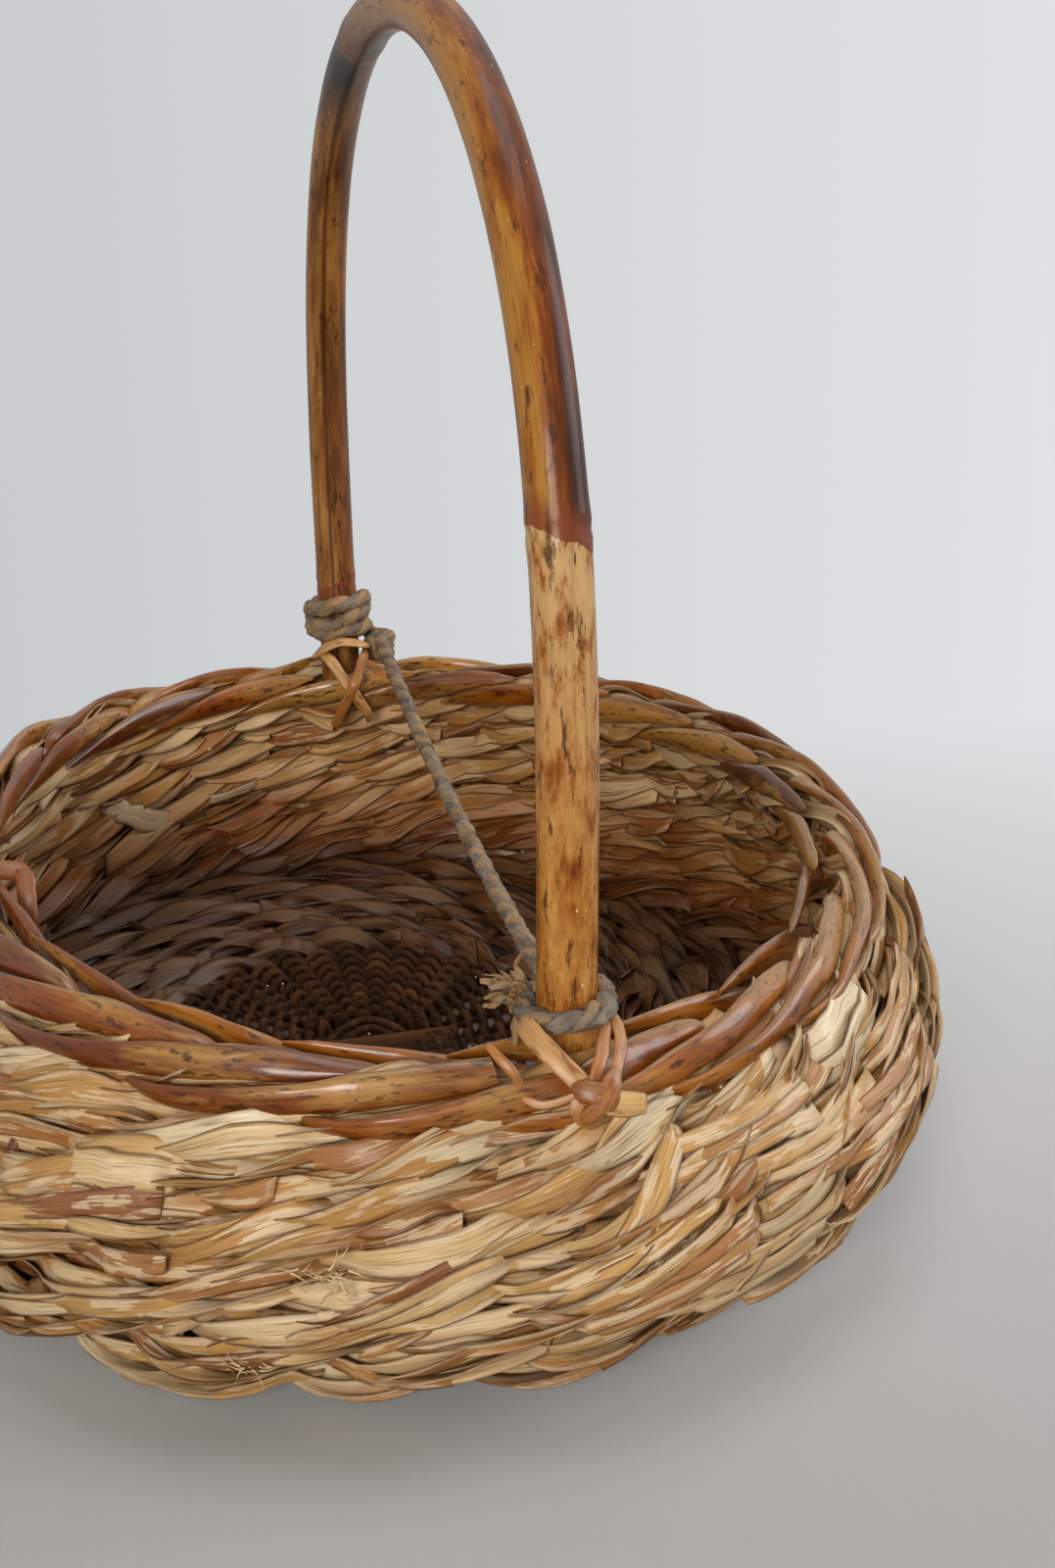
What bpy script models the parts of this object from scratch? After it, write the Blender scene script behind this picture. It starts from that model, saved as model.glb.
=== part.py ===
# Oval knitting basket: cane stakes, a twined straw wall, a border of bent stakes,
# one bent cane handle lashed on at both feet and a taut paper cord between the feet.
# Metres, +Z up. The origin is on the floor under the middle of the widest round.

import bpy
import bmesh
import math
from mathutils import Vector

# Plan of the basket
rim_half_length = 0.190
rim_half_width = 0.148
handle_set_back = 0.012
lean = 0.010
base_lean = 0.0060
rim_dip = 0.003
rim_tilt = 0.006
rim_tilt_turn = 0.5

# Outline of the wall, from the base up: how far it stands out beyond the rim line
bend_bulge = 0.008
belly_bulge = 0.028
belly_height = 0.040
rim_height = 0.100
shoulder_power = 1.6
outline_steps = 40
gap = 0.0003

# Stakes
stake_count = 20
stake_radius = 0.0033
short_stake_rounds = 4
butt_gap = 0.0005

# Base
base_weaver_half_width = 0.0046
base_weaver_half_depth = 0.0016
base_weaver_count = 9
hub_share = 0.20
hub_clearance = 0.0009
hub_sides = 32
first_weaver_share = 0.34
last_weaver_share = 0.95
spoke_hold_share = 0.22

# Wall
round_count = 7
first_round_length = 0.0125
last_round_drop = 0.023
strand_half_depth = 0.0032
points_per_wave = 6
foot_press_share = 0.3
wave_size_shares = (1.0, 0.50, 0.42, 0.75, 0.42, 0.50)

# Border: places along a bent stake, as shares of the stake spacing and of the cane pitch
border_seat = 0.0150
border_shares = (
    (0.00, 0.00, -0.45),
    (0.02, 0.00, 0.55),
    (0.14, 0.08, 1.00),
    (0.45, 0.35, 1.12),
    (0.74, 0.88, 1.08),
    (1.00, 1.25, 1.00),
    (1.25, 1.45, 1.02),
    (1.50, 1.62, 0.70),
    (1.75, 1.75, 0.15),
    (2.00, 1.75, -0.25),
    (2.22, 1.25, -0.12),
    (2.50, 0.00, 0.00),
    (2.78, -1.10, 0.05),
    (3.00, -1.25, 0.10),
    (3.50, -1.60, 0.85),
    (4.00, -1.60, 1.25),
    (4.25, -1.75, 1.60),
)

# Handle
handle_radius = 0.0082
handle_rise = 0.274
handle_spread_share = 0.2293
handle_crown_share = 0.7221
handle_step_count = 30
handle_joint_shares = (0.14, 0.60, 0.97)
handle_joint_swell_share = 0.06
handle_taper_length = 0.030
handle_clearance = 0.0008

# Cane lashing at the feet of the handle
strip_width = 0.0058
strip_thickness = 0.0011
strip_lift = 0.002
strip_spread = 0.013
strip_shares = (
    (-1.0, 1.00, 1.62),
    (-0.7, 1.10, 1.62),
    (-0.3, 1.22, 1.20),
    (0.0, 1.28, 0.60),
    (0.4, 1.30, 0.00),
    (0.8, 1.28, -0.50),
    (1.0, 1.22, -0.90),
)

# Paper cord
cord_radius = 0.0024
cord_pitch = 0.0056
cord_sag = 0.007
cord_points = 16
front_turns = 1.0
back_turns = 3.0
front_cord_lift = 0.0105
back_cord_lift = 0.0165
cord_spread = 0.005
spread_share = 0.25
turn_points = 16
tuft_length = 0.013
tuft_end_radius = 0.0055

weave_turn = math.tau / stake_count
wave_count = stake_count // 2
spoke_height = 2 * base_weaver_half_depth + gap + stake_radius
cane_pitch = 2 * stake_radius + gap
handle_turn = math.asin(handle_set_back / rim_half_width)
last_round_height = rim_height - last_round_drop
border_level = last_round_height + border_seat
front_cord_height = rim_height + front_cord_lift
back_cord_height = rim_height + back_cord_lift


def clear_scene():
    for item in list(bpy.data.objects):
        bpy.data.objects.remove(item, do_unlink=True)


def new_collection(name):
    group = bpy.data.collections.new(name)
    bpy.context.scene.collection.children.link(group)
    return group


def new_material(name, color, roughness):
    material = bpy.data.materials.new(name)
    material.use_nodes = True
    shader = material.node_tree.nodes["Principled BSDF"]
    shader.inputs["Base Color"].default_value = (*color, 1.0)
    shader.inputs["Roughness"].default_value = roughness
    shader.inputs["Metallic"].default_value = 0.0
    material.diffuse_color = (*color, 1.0)
    return material


def wall_outline():
    # The bend out of the base is a quarter ellipse, and the shoulder draws in to the rim.
    points = []
    for step in range(outline_steps + 1):
        sweep = math.pi / 2 * step / outline_steps
        points.append((
            bend_bulge + (belly_bulge - bend_bulge) * math.sin(sweep),
            belly_height - (belly_height - spoke_height) * math.cos(sweep),
        ))
    for step in range(1, outline_steps + 1):
        share = step / outline_steps
        points.append((
            belly_bulge * (1 - share ** shoulder_power),
            belly_height + (border_level - belly_height) * share,
        ))
    points.append((0.0, rim_height))
    return points


outline = wall_outline()
outline_lengths = [0.0]
for one, two in zip(outline, outline[1:]):
    outline_lengths.append(outline_lengths[-1] + math.dist(one, two))


def on_outline(length):
    # Bulge, height and upward direction at a length along the outline.
    last = len(outline) - 2
    index = next((i for i in range(last) if outline_lengths[i + 1] >= length), last)
    one, two = outline[index], outline[index + 1]
    span = outline_lengths[index + 1] - outline_lengths[index]
    share = (length - outline_lengths[index]) / span
    direction = ((two[0] - one[0]) / span, (two[1] - one[1]) / span)
    return one[0] + (two[0] - one[0]) * share, one[1] + (two[1] - one[1]) * share, direction


def length_at_height(height):
    # Length along the outline at which it reaches a height.
    for index, (bulge, level) in enumerate(outline[1:], 1):
        if level >= height:
            below = outline[index - 1][1]
            share = max(0.0, (height - below) / (level - below))
            start = outline_lengths[index - 1]
            return start + share * (outline_lengths[index] - start)
    return outline_lengths[-1]


def bulge_at(height):
    return on_outline(length_at_height(height))[0]


last_round_length = length_at_height(last_round_height)
round_pitch = (last_round_length - first_round_length) / (round_count - 1)
strand_half_height = round_pitch / 2 - gap
crossing_rise = (round_pitch - gap) / 4 / math.sin(math.tau / points_per_wave)


def center_at(height):
    # How far the middle of the oval stands towards +Y: the basket leans a little, its base more.
    if height < belly_height:
        return base_lean * (height - belly_height) / belly_height
    return lean * (height - belly_height) / rim_height


def in_plan(turn, bulge, height, share=1.0):
    # A point on the oval that stands bulge beyond the rim line, at a height.
    angle = turn + handle_turn * math.cos(turn)
    across = Vector((rim_half_width * math.cos(angle), rim_half_length * math.sin(angle), 0))
    across.normalize()
    raised = max(0.0, height - belly_height) / (rim_height - belly_height)
    dip = rim_dip * math.cos(2 * angle) * raised
    dip -= rim_tilt * (1 - math.cos(angle - rim_tilt_turn)) / 2 * raised
    return Vector((
        share * rim_half_length * math.cos(angle) + bulge * across.x,
        share * rim_half_width * math.sin(angle) + bulge * across.y + center_at(height),
        height - dip,
    ))


def on_wall(turn, length, out=0.0, along=0.0):
    bulge, height, (lean_out, lean_up) = on_outline(length)
    return in_plan(
        turn,
        bulge + out * lean_up + along * lean_out,
        height - out * lean_out + along * lean_up,
    )


def handle_reach(height):
    # Radius of the handle cane where it tapers into the wall.
    share = min(1.0, max(0.0, (border_level - height) / handle_taper_length))
    return handle_radius + (stake_radius - handle_radius) * share


def near_handle(turn):
    # 1 at a foot of the handle, falling to 0 half a stake spacing away.
    distance = abs((turn + math.pi / 2) % math.pi - math.pi / 2) / weave_turn
    return math.cos(math.pi * distance) ** 2 if distance < 0.5 else 0.0


def add_curve(name, points, material, radius=0.0, profile=None, sizes=None, tilts=None,
              cyclic=False, resolution=1):
    # A round tube of one radius, or an upright section carried along the points.
    curve = bpy.data.curves.new(name, "CURVE")
    curve.dimensions = "3D"
    curve.use_fill_caps = True
    curve.resolution_u = 1
    curve.render_resolution_u = 0
    if profile:
        curve.twist_mode = "Z_UP"
        curve.bevel_mode = "OBJECT"
        curve.bevel_object = profile
    else:
        curve.bevel_depth = radius
        curve.bevel_resolution = resolution
    spline = curve.splines.new("POLY")
    spline.points.add(len(points) - 1)
    spline.use_cyclic_u = cyclic
    for index, point in enumerate(points):
        spline.points[index].co = (*point, 1.0)
        if sizes:
            spline.points[index].radius = sizes[index]
        if tilts:
            spline.points[index].tilt = tilts[index]
    item = bpy.data.objects.new(name, curve)
    basket.objects.link(item)
    curve.materials.append(material)
    return item


def add_profile(name, points):
    # A flat closed outline that a curve carries along itself.
    curve = bpy.data.curves.new(name, "CURVE")
    curve.dimensions = "2D"
    spline = curve.splines.new("POLY")
    spline.points.add(len(points) - 1)
    spline.use_cyclic_u = True
    for index, (x, y) in enumerate(points):
        spline.points[index].co = (x, y, 0, 1)
    item = bpy.data.objects.new(name, curve)
    guides.objects.link(item)
    item.hide_render = True
    item.display_type = "WIRE"
    return item


def make_strands(material):
    # Two strands twine round by round: each goes outside one stake and inside the next.
    lens = add_profile("strand_section", (
        (strand_half_depth, 0),
        (0, -strand_half_height),
        (-strand_half_depth, 0),
        (0, strand_half_height),
    ))
    reach = strand_half_depth + stake_radius + gap
    for level in range(round_count):
        length = first_round_length + level * round_pitch
        height, direction = on_outline(length)[1:]
        foot = handle_reach(height + strand_half_height) + strand_half_depth + handle_clearance
        tilt = math.atan2(direction[0], direction[1])
        for half, letter in enumerate("ab"):
            points = []
            sizes = []
            for step in range(wave_count * points_per_wave):
                turn = math.tau * step / (wave_count * points_per_wave)
                phase = wave_count * turn + math.pi * half
                local = reach + max(0.0, foot - reach) * near_handle(turn)
                points.append(on_wall(
                    turn, length, local * math.cos(phase), crossing_rise * math.sin(phase)))
                index = (step + half * points_per_wave // 2) % points_per_wave
                press = foot_press_share * near_handle(turn) if foot > reach else 0.0
                sizes.append(wave_size_shares[index] * (1 - press))
            add_curve(
                f"wall_round_{level + 1}_strand_{letter}", points, material, profile=lens,
                sizes=sizes, tilts=[tilt] * len(points), cyclic=True)


def border_point(turn, out_share, up_share):
    # The canes spread round the foot of the handle, and otherwise keep to the shares.
    height = border_level + up_share * cane_pitch
    out = abs(out_share) * cane_pitch
    slope = on_outline(length_at_height(height))[2][1]
    room = max(out, (handle_reach(height) + stake_radius + handle_clearance) / slope)
    out += (room - out) * near_handle(turn) * min(1.0, abs(out_share))
    return in_plan(turn, bulge_at(height) + math.copysign(out, out_share), height)


def make_stakes(material):
    # Each stake runs out from the hub, up the wall, and is bent down into the border.
    spoke_start = hub_share + hub_clearance / rim_half_width
    for number in range(stake_count):
        turn = number * weave_turn
        short = number % wave_count == 0
        points = [
            in_plan(turn, 0, spoke_height, share=spoke_start),
            in_plan(turn, bend_bulge, spoke_height),
        ]
        rounds = short_stake_rounds if short else round_count
        for level in range(rounds):
            points.append(on_wall(turn, first_round_length + level * round_pitch))
        if not short:
            for along, out, up in border_shares:
                points.append(border_point(turn - along * weave_turn, out, up))
        add_curve(f"stake_{number + 1:02d}", points, material, stake_radius)


def make_base(material):
    bpy.ops.mesh.primitive_cylinder_add(vertices=hub_sides, radius=1, depth=2 * spoke_height)
    hub = bpy.context.object
    hub.name = "base_hub"
    hub.data.name = "base_hub"
    hub.scale = (hub_share * rim_half_length, hub_share * rim_half_width, 1)
    hub.location = (0, center_at(spoke_height), spoke_height)
    bpy.ops.object.transform_apply(location=False, rotation=False, scale=True)
    for group in list(hub.users_collection):
        group.objects.unlink(hub)
    basket.objects.link(hub)
    hub.data.materials.append(material)
    hub.data.shade_smooth()
    hub.data.set_sharp_from_angle(angle=math.radians(40))
    rise = stake_radius + base_weaver_half_depth + gap
    flat = add_profile("weaver_section", (
        (base_weaver_half_width, -base_weaver_half_depth),
        (-base_weaver_half_width, -base_weaver_half_depth),
        (-base_weaver_half_width, base_weaver_half_depth),
        (base_weaver_half_width, base_weaver_half_depth),
    ))
    for ring in range(base_weaver_count):
        spread = (last_weaver_share - first_weaver_share) * ring / (base_weaver_count - 1)
        points = []
        for number in range(stake_count):
            side = 1 if (number + ring) % 2 else -1
            for hold in (-spoke_hold_share, spoke_hold_share):
                points.append(in_plan(
                    (number + hold) * weave_turn, 0, spoke_height,
                    share=first_weaver_share + spread) + Vector((0, 0, side * rise)))
        add_curve(f"base_weaver_{ring + 1}", points, material, profile=flat, cyclic=True)


def foot_point(side, height, out=0.0):
    # On the middle line of the handle's foot, where the wall and the border hold it.
    turn = 0.0 if side > 0 else math.pi
    if height > rim_height:
        height = rim_height
    return on_wall(turn, length_at_height(height), out)


def make_handle(material):
    # Down in the wall the foot is pared to the stake that it stands on.
    foot = foot_point(1, rim_height)
    points = []
    sizes = []
    for step in range(1, handle_step_count):
        sweep = math.pi * step / handle_step_count
        points.append(Vector((
            foot.x * math.cos(sweep) * (1 + handle_spread_share * math.sin(sweep)),
            foot.y,
            foot.z + handle_rise * math.sin(sweep) ** handle_crown_share,
        )))
        distance = min(abs(step / handle_step_count - joint) for joint in handle_joint_shares)
        sizes.append(1 + handle_joint_swell_share * (distance < 0.5 / handle_step_count))
    for side in (1, -1):
        turn = 0.0 if side > 0 else math.pi
        stakes = [
            on_wall(turn, first_round_length + level * round_pitch)
            for level in range(round_count)
        ]
        below, top = stakes[short_stake_rounds - 2:short_stake_rounds]
        upward = (top - below).normalized()
        down = [top + upward * butt_gap, top + upward * (butt_gap + stake_radius)]
        down_sizes = [stake_radius / handle_radius] * 2
        for point in stakes[short_stake_rounds:]:
            down.append(point)
            down_sizes.append(handle_reach(point.z) / handle_radius)
        for height in (border_level, rim_height):
            down.append(foot_point(side, height))
            down_sizes.append(1.0)
        if side > 0:
            points = down + points
            sizes = down_sizes + sizes
        else:
            points = points + down[::-1]
            sizes = sizes + down_sizes[::-1]
    add_curve("handle", points, material, handle_radius, sizes=sizes, resolution=2)


def foot_side(side, height):
    # Middle of the handle cane at a height just above the border, on one side.
    foot = foot_point(side, rim_height)
    share = max(0.0, (height - foot.z) / handle_rise) ** (1 / handle_crown_share)
    sweep = math.asin(min(1.0, share))
    return Vector((
        side * abs(foot.x) * math.cos(sweep) * (1 + handle_spread_share * math.sin(sweep)),
        foot.y,
        height,
    ))


def wound_cord(side, first_angle, turns, height):
    # A winding of cord round one foot: the end that meets the other foot's cord, then its turns.
    reach = handle_radius + cord_radius + handle_clearance
    points = []
    for step in range(int(turns * turn_points) + 1):
        done = step / turn_points
        angle = first_angle + math.tau * done
        spread = cord_spread * max(0.0, 1 - done / spread_share) ** 2
        middle = foot_side(side, height + cord_pitch * done)
        points.append(middle + (reach + spread) * Vector((math.cos(angle), math.sin(angle), 0)))
    lead = Vector((-side * 2 * cord_radius, 0, 0))
    tail = (points[-1] - points[-2]).normalized() * 2 * cord_radius
    return [points[0] + lead, *points, points[-1] + tail]


def add_strip(name, route, material):
    # A flat strip of split cane that lies on its route, with its width square to it.
    mesh = bpy.data.meshes.new(name)
    shape = bmesh.new()
    rows = []
    for index, (point, outward) in enumerate(route):
        before = route[max(0, index - 1)][0]
        after = route[min(len(route) - 1, index + 1)][0]
        side = (after - before).cross(outward).normalized() * strip_width / 2
        rows.append([shape.verts.new(point - side), shape.verts.new(point + side)])
    for one, two in zip(rows, rows[1:]):
        shape.faces.new((one[0], one[1], two[1], two[0]))
    shape.to_mesh(mesh)
    shape.free()
    item = bpy.data.objects.new(name, mesh)
    basket.objects.link(item)
    mesh.materials.append(material)
    shell = item.modifiers.new("thickness", "SOLIDIFY")
    shell.thickness = strip_thickness
    shell.offset = 1.0
    return item


def make_lashing(material):
    # Two strips cross over the border in front of each foot, one on top of the other.
    for side, place in ((1, "front"), (-1, "back")):
        turn = 0.0 if side > 0 else math.pi
        for lean_way, letter in ((1, "a"), (-1, "b")):
            lift = strip_lift if lean_way < 0 else 0.0
            route = []
            for along, out, up in strip_shares:
                spot = turn + side * lean_way * along * strip_spread / rim_half_width
                height = border_level + up * cane_pitch
                slope = on_outline(length_at_height(height))[2][1]
                reach = out * (handle_radius + stake_radius + handle_clearance)
                reach += stake_radius + handle_clearance + lift * (abs(along) < 1)
                point = in_plan(spot, reach, height)
                outward = (point - in_plan(spot, 0, height)).normalized()
                route.append((point, outward))
            add_strip(f"lashing_{place}_{letter}", route, material)


def least_self_gap(points, diameter):
    # Least gap between stretches of a winding that are more than a quarter turn apart.
    skip = turn_points // 4
    return min(
        (one - two).length - diameter
        for i, one in enumerate(points) for two in points[i + skip:]
    )


def make_cord(material):
    front = wound_cord(1, math.pi, front_turns, front_cord_height)
    back = wound_cord(-1, math.pi / 2, back_turns, back_cord_height)
    for name, points in (("cord_winding_front", front), ("cord_winding_back", back)):
        add_curve(name, points, material, cord_radius)
        least = least_self_gap(points, 2 * cord_radius)
        print(name, "least gap to itself", round(least * 1000, 2), "mm")
    run = (back[0] - front[0]).normalized()
    start = front[0] + run * gap
    end = back[0] - run * gap
    points = []
    for step in range(cord_points + 1):
        share = step / cord_points
        point = start.lerp(end, share)
        point.z -= cord_sag * 4 * share * (1 - share)
        points.append(point)
    add_curve("tie_cord", points, material, cord_radius)
    outward = (front[-1] - front[-2]).normalized()
    tuft = [front[-1] + outward * gap, front[-1] + outward * (gap + tuft_length)]
    add_curve("cord_tuft", tuft, material, cord_radius, sizes=[1.0, tuft_end_radius / cord_radius])


clear_scene()
basket = new_collection("knitting_basket")
guides = new_collection("guides")
straw = new_material("straw", (0.56, 0.36, 0.14), 0.75)
cane = new_material("split_cane", (0.30, 0.11, 0.03), 0.4)
varnished = new_material("varnished_cane", (0.42, 0.18, 0.05), 0.3)
paper = new_material("paper_cord", (0.30, 0.24, 0.18), 0.85)

make_strands(straw)
make_stakes(cane)
make_base(cane)
make_handle(varnished)
make_cord(paper)
make_lashing(cane)
print("round pitch", round(round_pitch * 1000, 2), "mm")
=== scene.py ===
import math
from functools import partial

import bpy
import numpy as np
from mathutils import Matrix, Vector


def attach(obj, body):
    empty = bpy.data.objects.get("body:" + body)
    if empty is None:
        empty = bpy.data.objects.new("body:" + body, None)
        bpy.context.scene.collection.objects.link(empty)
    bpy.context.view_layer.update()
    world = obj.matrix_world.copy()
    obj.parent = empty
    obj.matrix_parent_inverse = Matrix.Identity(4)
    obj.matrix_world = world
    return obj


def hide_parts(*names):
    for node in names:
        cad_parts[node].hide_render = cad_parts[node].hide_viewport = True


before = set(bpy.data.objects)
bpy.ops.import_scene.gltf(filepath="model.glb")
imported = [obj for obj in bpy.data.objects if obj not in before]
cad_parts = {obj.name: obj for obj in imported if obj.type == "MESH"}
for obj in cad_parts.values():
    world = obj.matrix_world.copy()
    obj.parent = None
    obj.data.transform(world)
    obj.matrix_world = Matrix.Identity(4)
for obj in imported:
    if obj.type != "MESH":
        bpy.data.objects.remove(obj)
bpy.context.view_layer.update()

tau = math.tau
print("frame loaded with", len(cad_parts), "nodes")

# The basket's plan in metres: an oval rim line, and a wall that bulges out of it
plan = {
    "halfLength": 0.190,
    "halfWidth": 0.148,
    "setBack": 0.012,  # how far the handle stands behind the middle
    "lean": 0.010,
    "baseLean": 0.006,
    "dip": 0.003,
    "tilt": 0.006,
    "tiltTurn": 0.5,
    "bendBulge": 0.008,
    "bellyBulge": 0.028,
    "bellyHeight": 0.040,
    "rimHeight": 0.100,
    "shoulderPower": 1.6,
    "spokeHeight": 0.0068,
    "tuck": 0.012,  # how far the foot of the wall draws in, and how far it lifts, at the tuck's turn
    "lift": 0.005,
    "tuckTurn": 0.16,
    "tuckTop": 1.2,  # in belly heights
    "flank": 0.003,  # how far the right flank stands out
    "flankTurn": 1.5,
    "flankHeight": 0.05,
    "flankFocus": 3,
    "edgeFocus": 4,
    "borderLevel": 0.092,
    "stakes": 20,
    "stakeReach": 0.0033,
    "handleReach": 0.0082,
    "taper": 0.030,
}
weaveTurn = tau / plan["stakes"]
handleTurn = math.asin(plan["setBack"] / plan["halfWidth"])


# Colour and node helpers

blend = {"data_type": "RGBA"}
darken = {"data_type": "RGBA", "blend_type": "MULTIPLY"}
vectors = {"data_type": "FLOAT_VECTOR"}
times = {"operation": "MULTIPLY"}
plus = {"operation": "ADD"}
minus = {"operation": "SUBTRACT"}
over = {"operation": "DIVIDE"}
scaled = {"operation": "SCALE"}
dotted = {"operation": "DOT_PRODUCT"}


def hexColor(code):
    parts = [int(code[i:i + 2], 16) / 255 for i in (1, 3, 5)]
    linear = [p / 12.92 if p <= 0.04045 else ((p + 0.055) / 1.055) ** 2.4 for p in parts]
    return (*linear, 1.0)


def setInputs(tree, node, inputs):
    # Each value is a socket to link, a hex colour, or what the input itself takes
    for key, value in inputs.items():
        if isinstance(value, bpy.types.NodeSocket):
            tree.links.new(value, node.inputs[key])
        elif isinstance(value, str) and value.startswith("#"):
            node.inputs[key].default_value = hexColor(value)
        elif value is not None:
            node.inputs[key].default_value = value


def addNode(tree, kind, *values, named=None, stops=(), output=None, **settings):
    # The kind goes without its family, values go to the enabled inputs in their order, and the result is
    # the first enabled output
    families = ("GeometryNode", "ShaderNode", "FunctionNode")
    node = tree.nodes.new(next(family + kind for family in families if hasattr(bpy.types, family + kind)))
    for key, value in settings.items():
        setattr(node, key, value)
    places = [place for place, socket in enumerate(node.inputs) if socket.enabled]
    setInputs(tree, node, {**dict(zip(places, values)), **(named or {})})
    for _ in stops[2:]:
        node.color_ramp.elements.new(0.5)
    for element, (place, color) in zip(node.color_ramp.elements if stops else (), stops):
        element.position = place
        element.color = hexColor(color) if isinstance(color, str) else (color, color, color, 1)
    return node.outputs[output] if output else next(socket for socket in node.outputs if socket.enabled)


# Curves and meshes in numpy

def wallOutline():
    sweep = np.linspace(0, math.pi / 2, 41)
    rise = plan["bellyBulge"] - plan["bendBulge"]
    fall = plan["bellyHeight"] - plan["spokeHeight"]
    share = np.linspace(0, 1, 41)[1:]
    bulge = np.concatenate([
        plan["bendBulge"] + rise * np.sin(sweep),
        plan["bellyBulge"] * (1 - share ** plan["shoulderPower"]),
        [0.0],
    ])
    height = np.concatenate([
        plan["bellyHeight"] - fall * np.cos(sweep),
        plan["bellyHeight"] + (plan["borderLevel"] - plan["bellyHeight"]) * share,
        [plan["rimHeight"] + 0.02],
    ])
    length = np.concatenate([[0], np.cumsum(np.hypot(np.diff(bulge), np.diff(height)))])
    return bulge, height, length


outBulge, outHeight, outLength = wallOutline()
leanOut = np.gradient(outBulge, outLength)
leanUp = np.gradient(outHeight, outLength)


def planPoint(turn, bulge, height, share=1.0):
    turn, bulge, height, share = np.broadcast_arrays(turn, bulge, height, share)
    angle = turn + handleTurn * np.cos(turn)
    nx = plan["halfWidth"] * np.cos(angle)
    ny = plan["halfLength"] * np.sin(angle)
    size = np.hypot(nx, ny)
    low = np.clip(1 - height / plan["bellyHeight"] / plan["tuckTop"], 0, 1) * share ** plan["edgeFocus"]
    tucked = np.maximum(0, np.cos(turn - plan["tuckTurn"])) ** plan["flankFocus"] * low
    level = np.clip(1 - abs(height / plan["flankHeight"] - 1), 0, 1)
    flanked = np.maximum(0, np.cos(turn - plan["flankTurn"])) ** plan["flankFocus"] * level
    bulge = bulge - plan["tuck"] * tucked + plan["flank"] * flanked * share ** plan["edgeFocus"]
    height = height + plan["lift"] * tucked
    above = height - plan["bellyHeight"]
    center = np.where(above < 0, plan["baseLean"] * above / plan["bellyHeight"],
                      plan["lean"] * above / plan["rimHeight"])
    raised = np.maximum(0, above) / (plan["rimHeight"] - plan["bellyHeight"])
    dip = plan["dip"] * np.cos(2 * angle) * raised
    dip = dip - plan["tilt"] * (1 - np.cos(angle - plan["tiltTurn"])) / 2 * raised
    return np.stack([
        share * plan["halfLength"] * np.cos(angle) + bulge * nx / size,
        share * plan["halfWidth"] * np.sin(angle) + bulge * ny / size + center,
        height - dip,
    ], axis=-1)


def wallPoint(turn, length, out=0.0, along=0.0):
    bulge = np.interp(length, outLength, outBulge)
    height = np.interp(length, outLength, outHeight)
    tiltOut = np.interp(length, outLength, leanOut)
    tiltUp = np.interp(length, outLength, leanUp)
    return planPoint(turn, bulge + out * tiltUp + along * tiltOut,
                     height - out * tiltOut + along * tiltUp)


def unit(vectors):
    return vectors / np.maximum(np.linalg.norm(vectors, axis=-1, keepdims=True), 1e-9)


def nearHandle(turn):
    distance = np.abs((turn + math.pi / 2) % math.pi - math.pi / 2) / weaveTurn
    return np.where(distance < 0.5, np.cos(math.pi * distance) ** 2, 0.0)


def canePoint(height):
    share = np.clip((plan["borderLevel"] - height) / plan["taper"], 0, 1)
    return plan["handleReach"] + (plan["stakeReach"] - plan["handleReach"]) * share


def makeWander(rng, knots, sharp=False):
    # Noise from -1 to 1 that closes on itself after one turn, smooth or with kinks
    values = rng.uniform(-1, 1, knots)

    def read(turn):
        place = np.asarray(turn) / tau * knots
        first = np.floor(place).astype(int)
        share = place - first
        if not sharp:
            share = share * share * (3 - 2 * share)
        return values[first % knots] * (1 - share) + values[(first + 1) % knots] * share
    return read


def lengthAlong(line):
    return np.concatenate([[0], np.cumsum(np.linalg.norm(np.diff(line, axis=0), axis=1))])


def easeLine(points, step, rounds):
    # Points at equal steps along a line, with its corners rounded; extra columns ride along
    points = np.asarray(points, float)
    gone = lengthAlong(points[:, :3])
    places = np.linspace(0, gone[-1], max(4, int(gone[-1] / step) + 1))
    line = np.stack([np.interp(places, gone, column) for column in points.T], axis=1)
    for _ in range(rounds):
        line[1:-1] = (line[:-2] + 2 * line[1:-1] + line[2:]) / 4
    return line


def storeAttribute(mesh, name, values):
    values = np.asarray(values, dtype=np.float32)
    kind = "FLOAT_VECTOR" if values.ndim == 2 else "FLOAT"
    layer = mesh.attributes.new(name, kind, "POINT")
    layer.data.foreach_set("vector" if values.ndim == 2 else "value", values.ravel())


def linkObject(name, mesh):
    item = bpy.data.objects.new(name, mesh)
    bpy.context.scene.collection.objects.link(item)
    return item


def pathObject(name, paths):
    # Each path is a row of points with its reach, flatness and the way it is flattened
    points, edges, rows = [], [], {"reach": [], "flat": [], "way": [], "along": [], "tone": []}
    start = 0
    for path in paths:
        line = np.asarray(path["points"], float)
        count = len(line)
        points.append(line)
        edges += [(start + i, start + i + 1) for i in range(count - 1)]
        rows["along"].append(lengthAlong(line))
        rows["reach"].append(np.broadcast_to(path["reach"], count))
        rows["flat"].append(np.broadcast_to(path.get("flat", 0.0), count))
        rows["way"].append(np.broadcast_to(path.get("way", (0, 0, 1)), (count, 3)))
        rows["tone"].append(np.full(count, path.get("tone", 0.5)))
        start += count
    mesh = bpy.data.meshes.new(name)
    mesh.from_pydata(np.concatenate(points).tolist(), edges, [])
    for key, values in rows.items():
        storeAttribute(mesh, key, np.concatenate(values))
    return linkObject(name, mesh)


# Geometry trees

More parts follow.
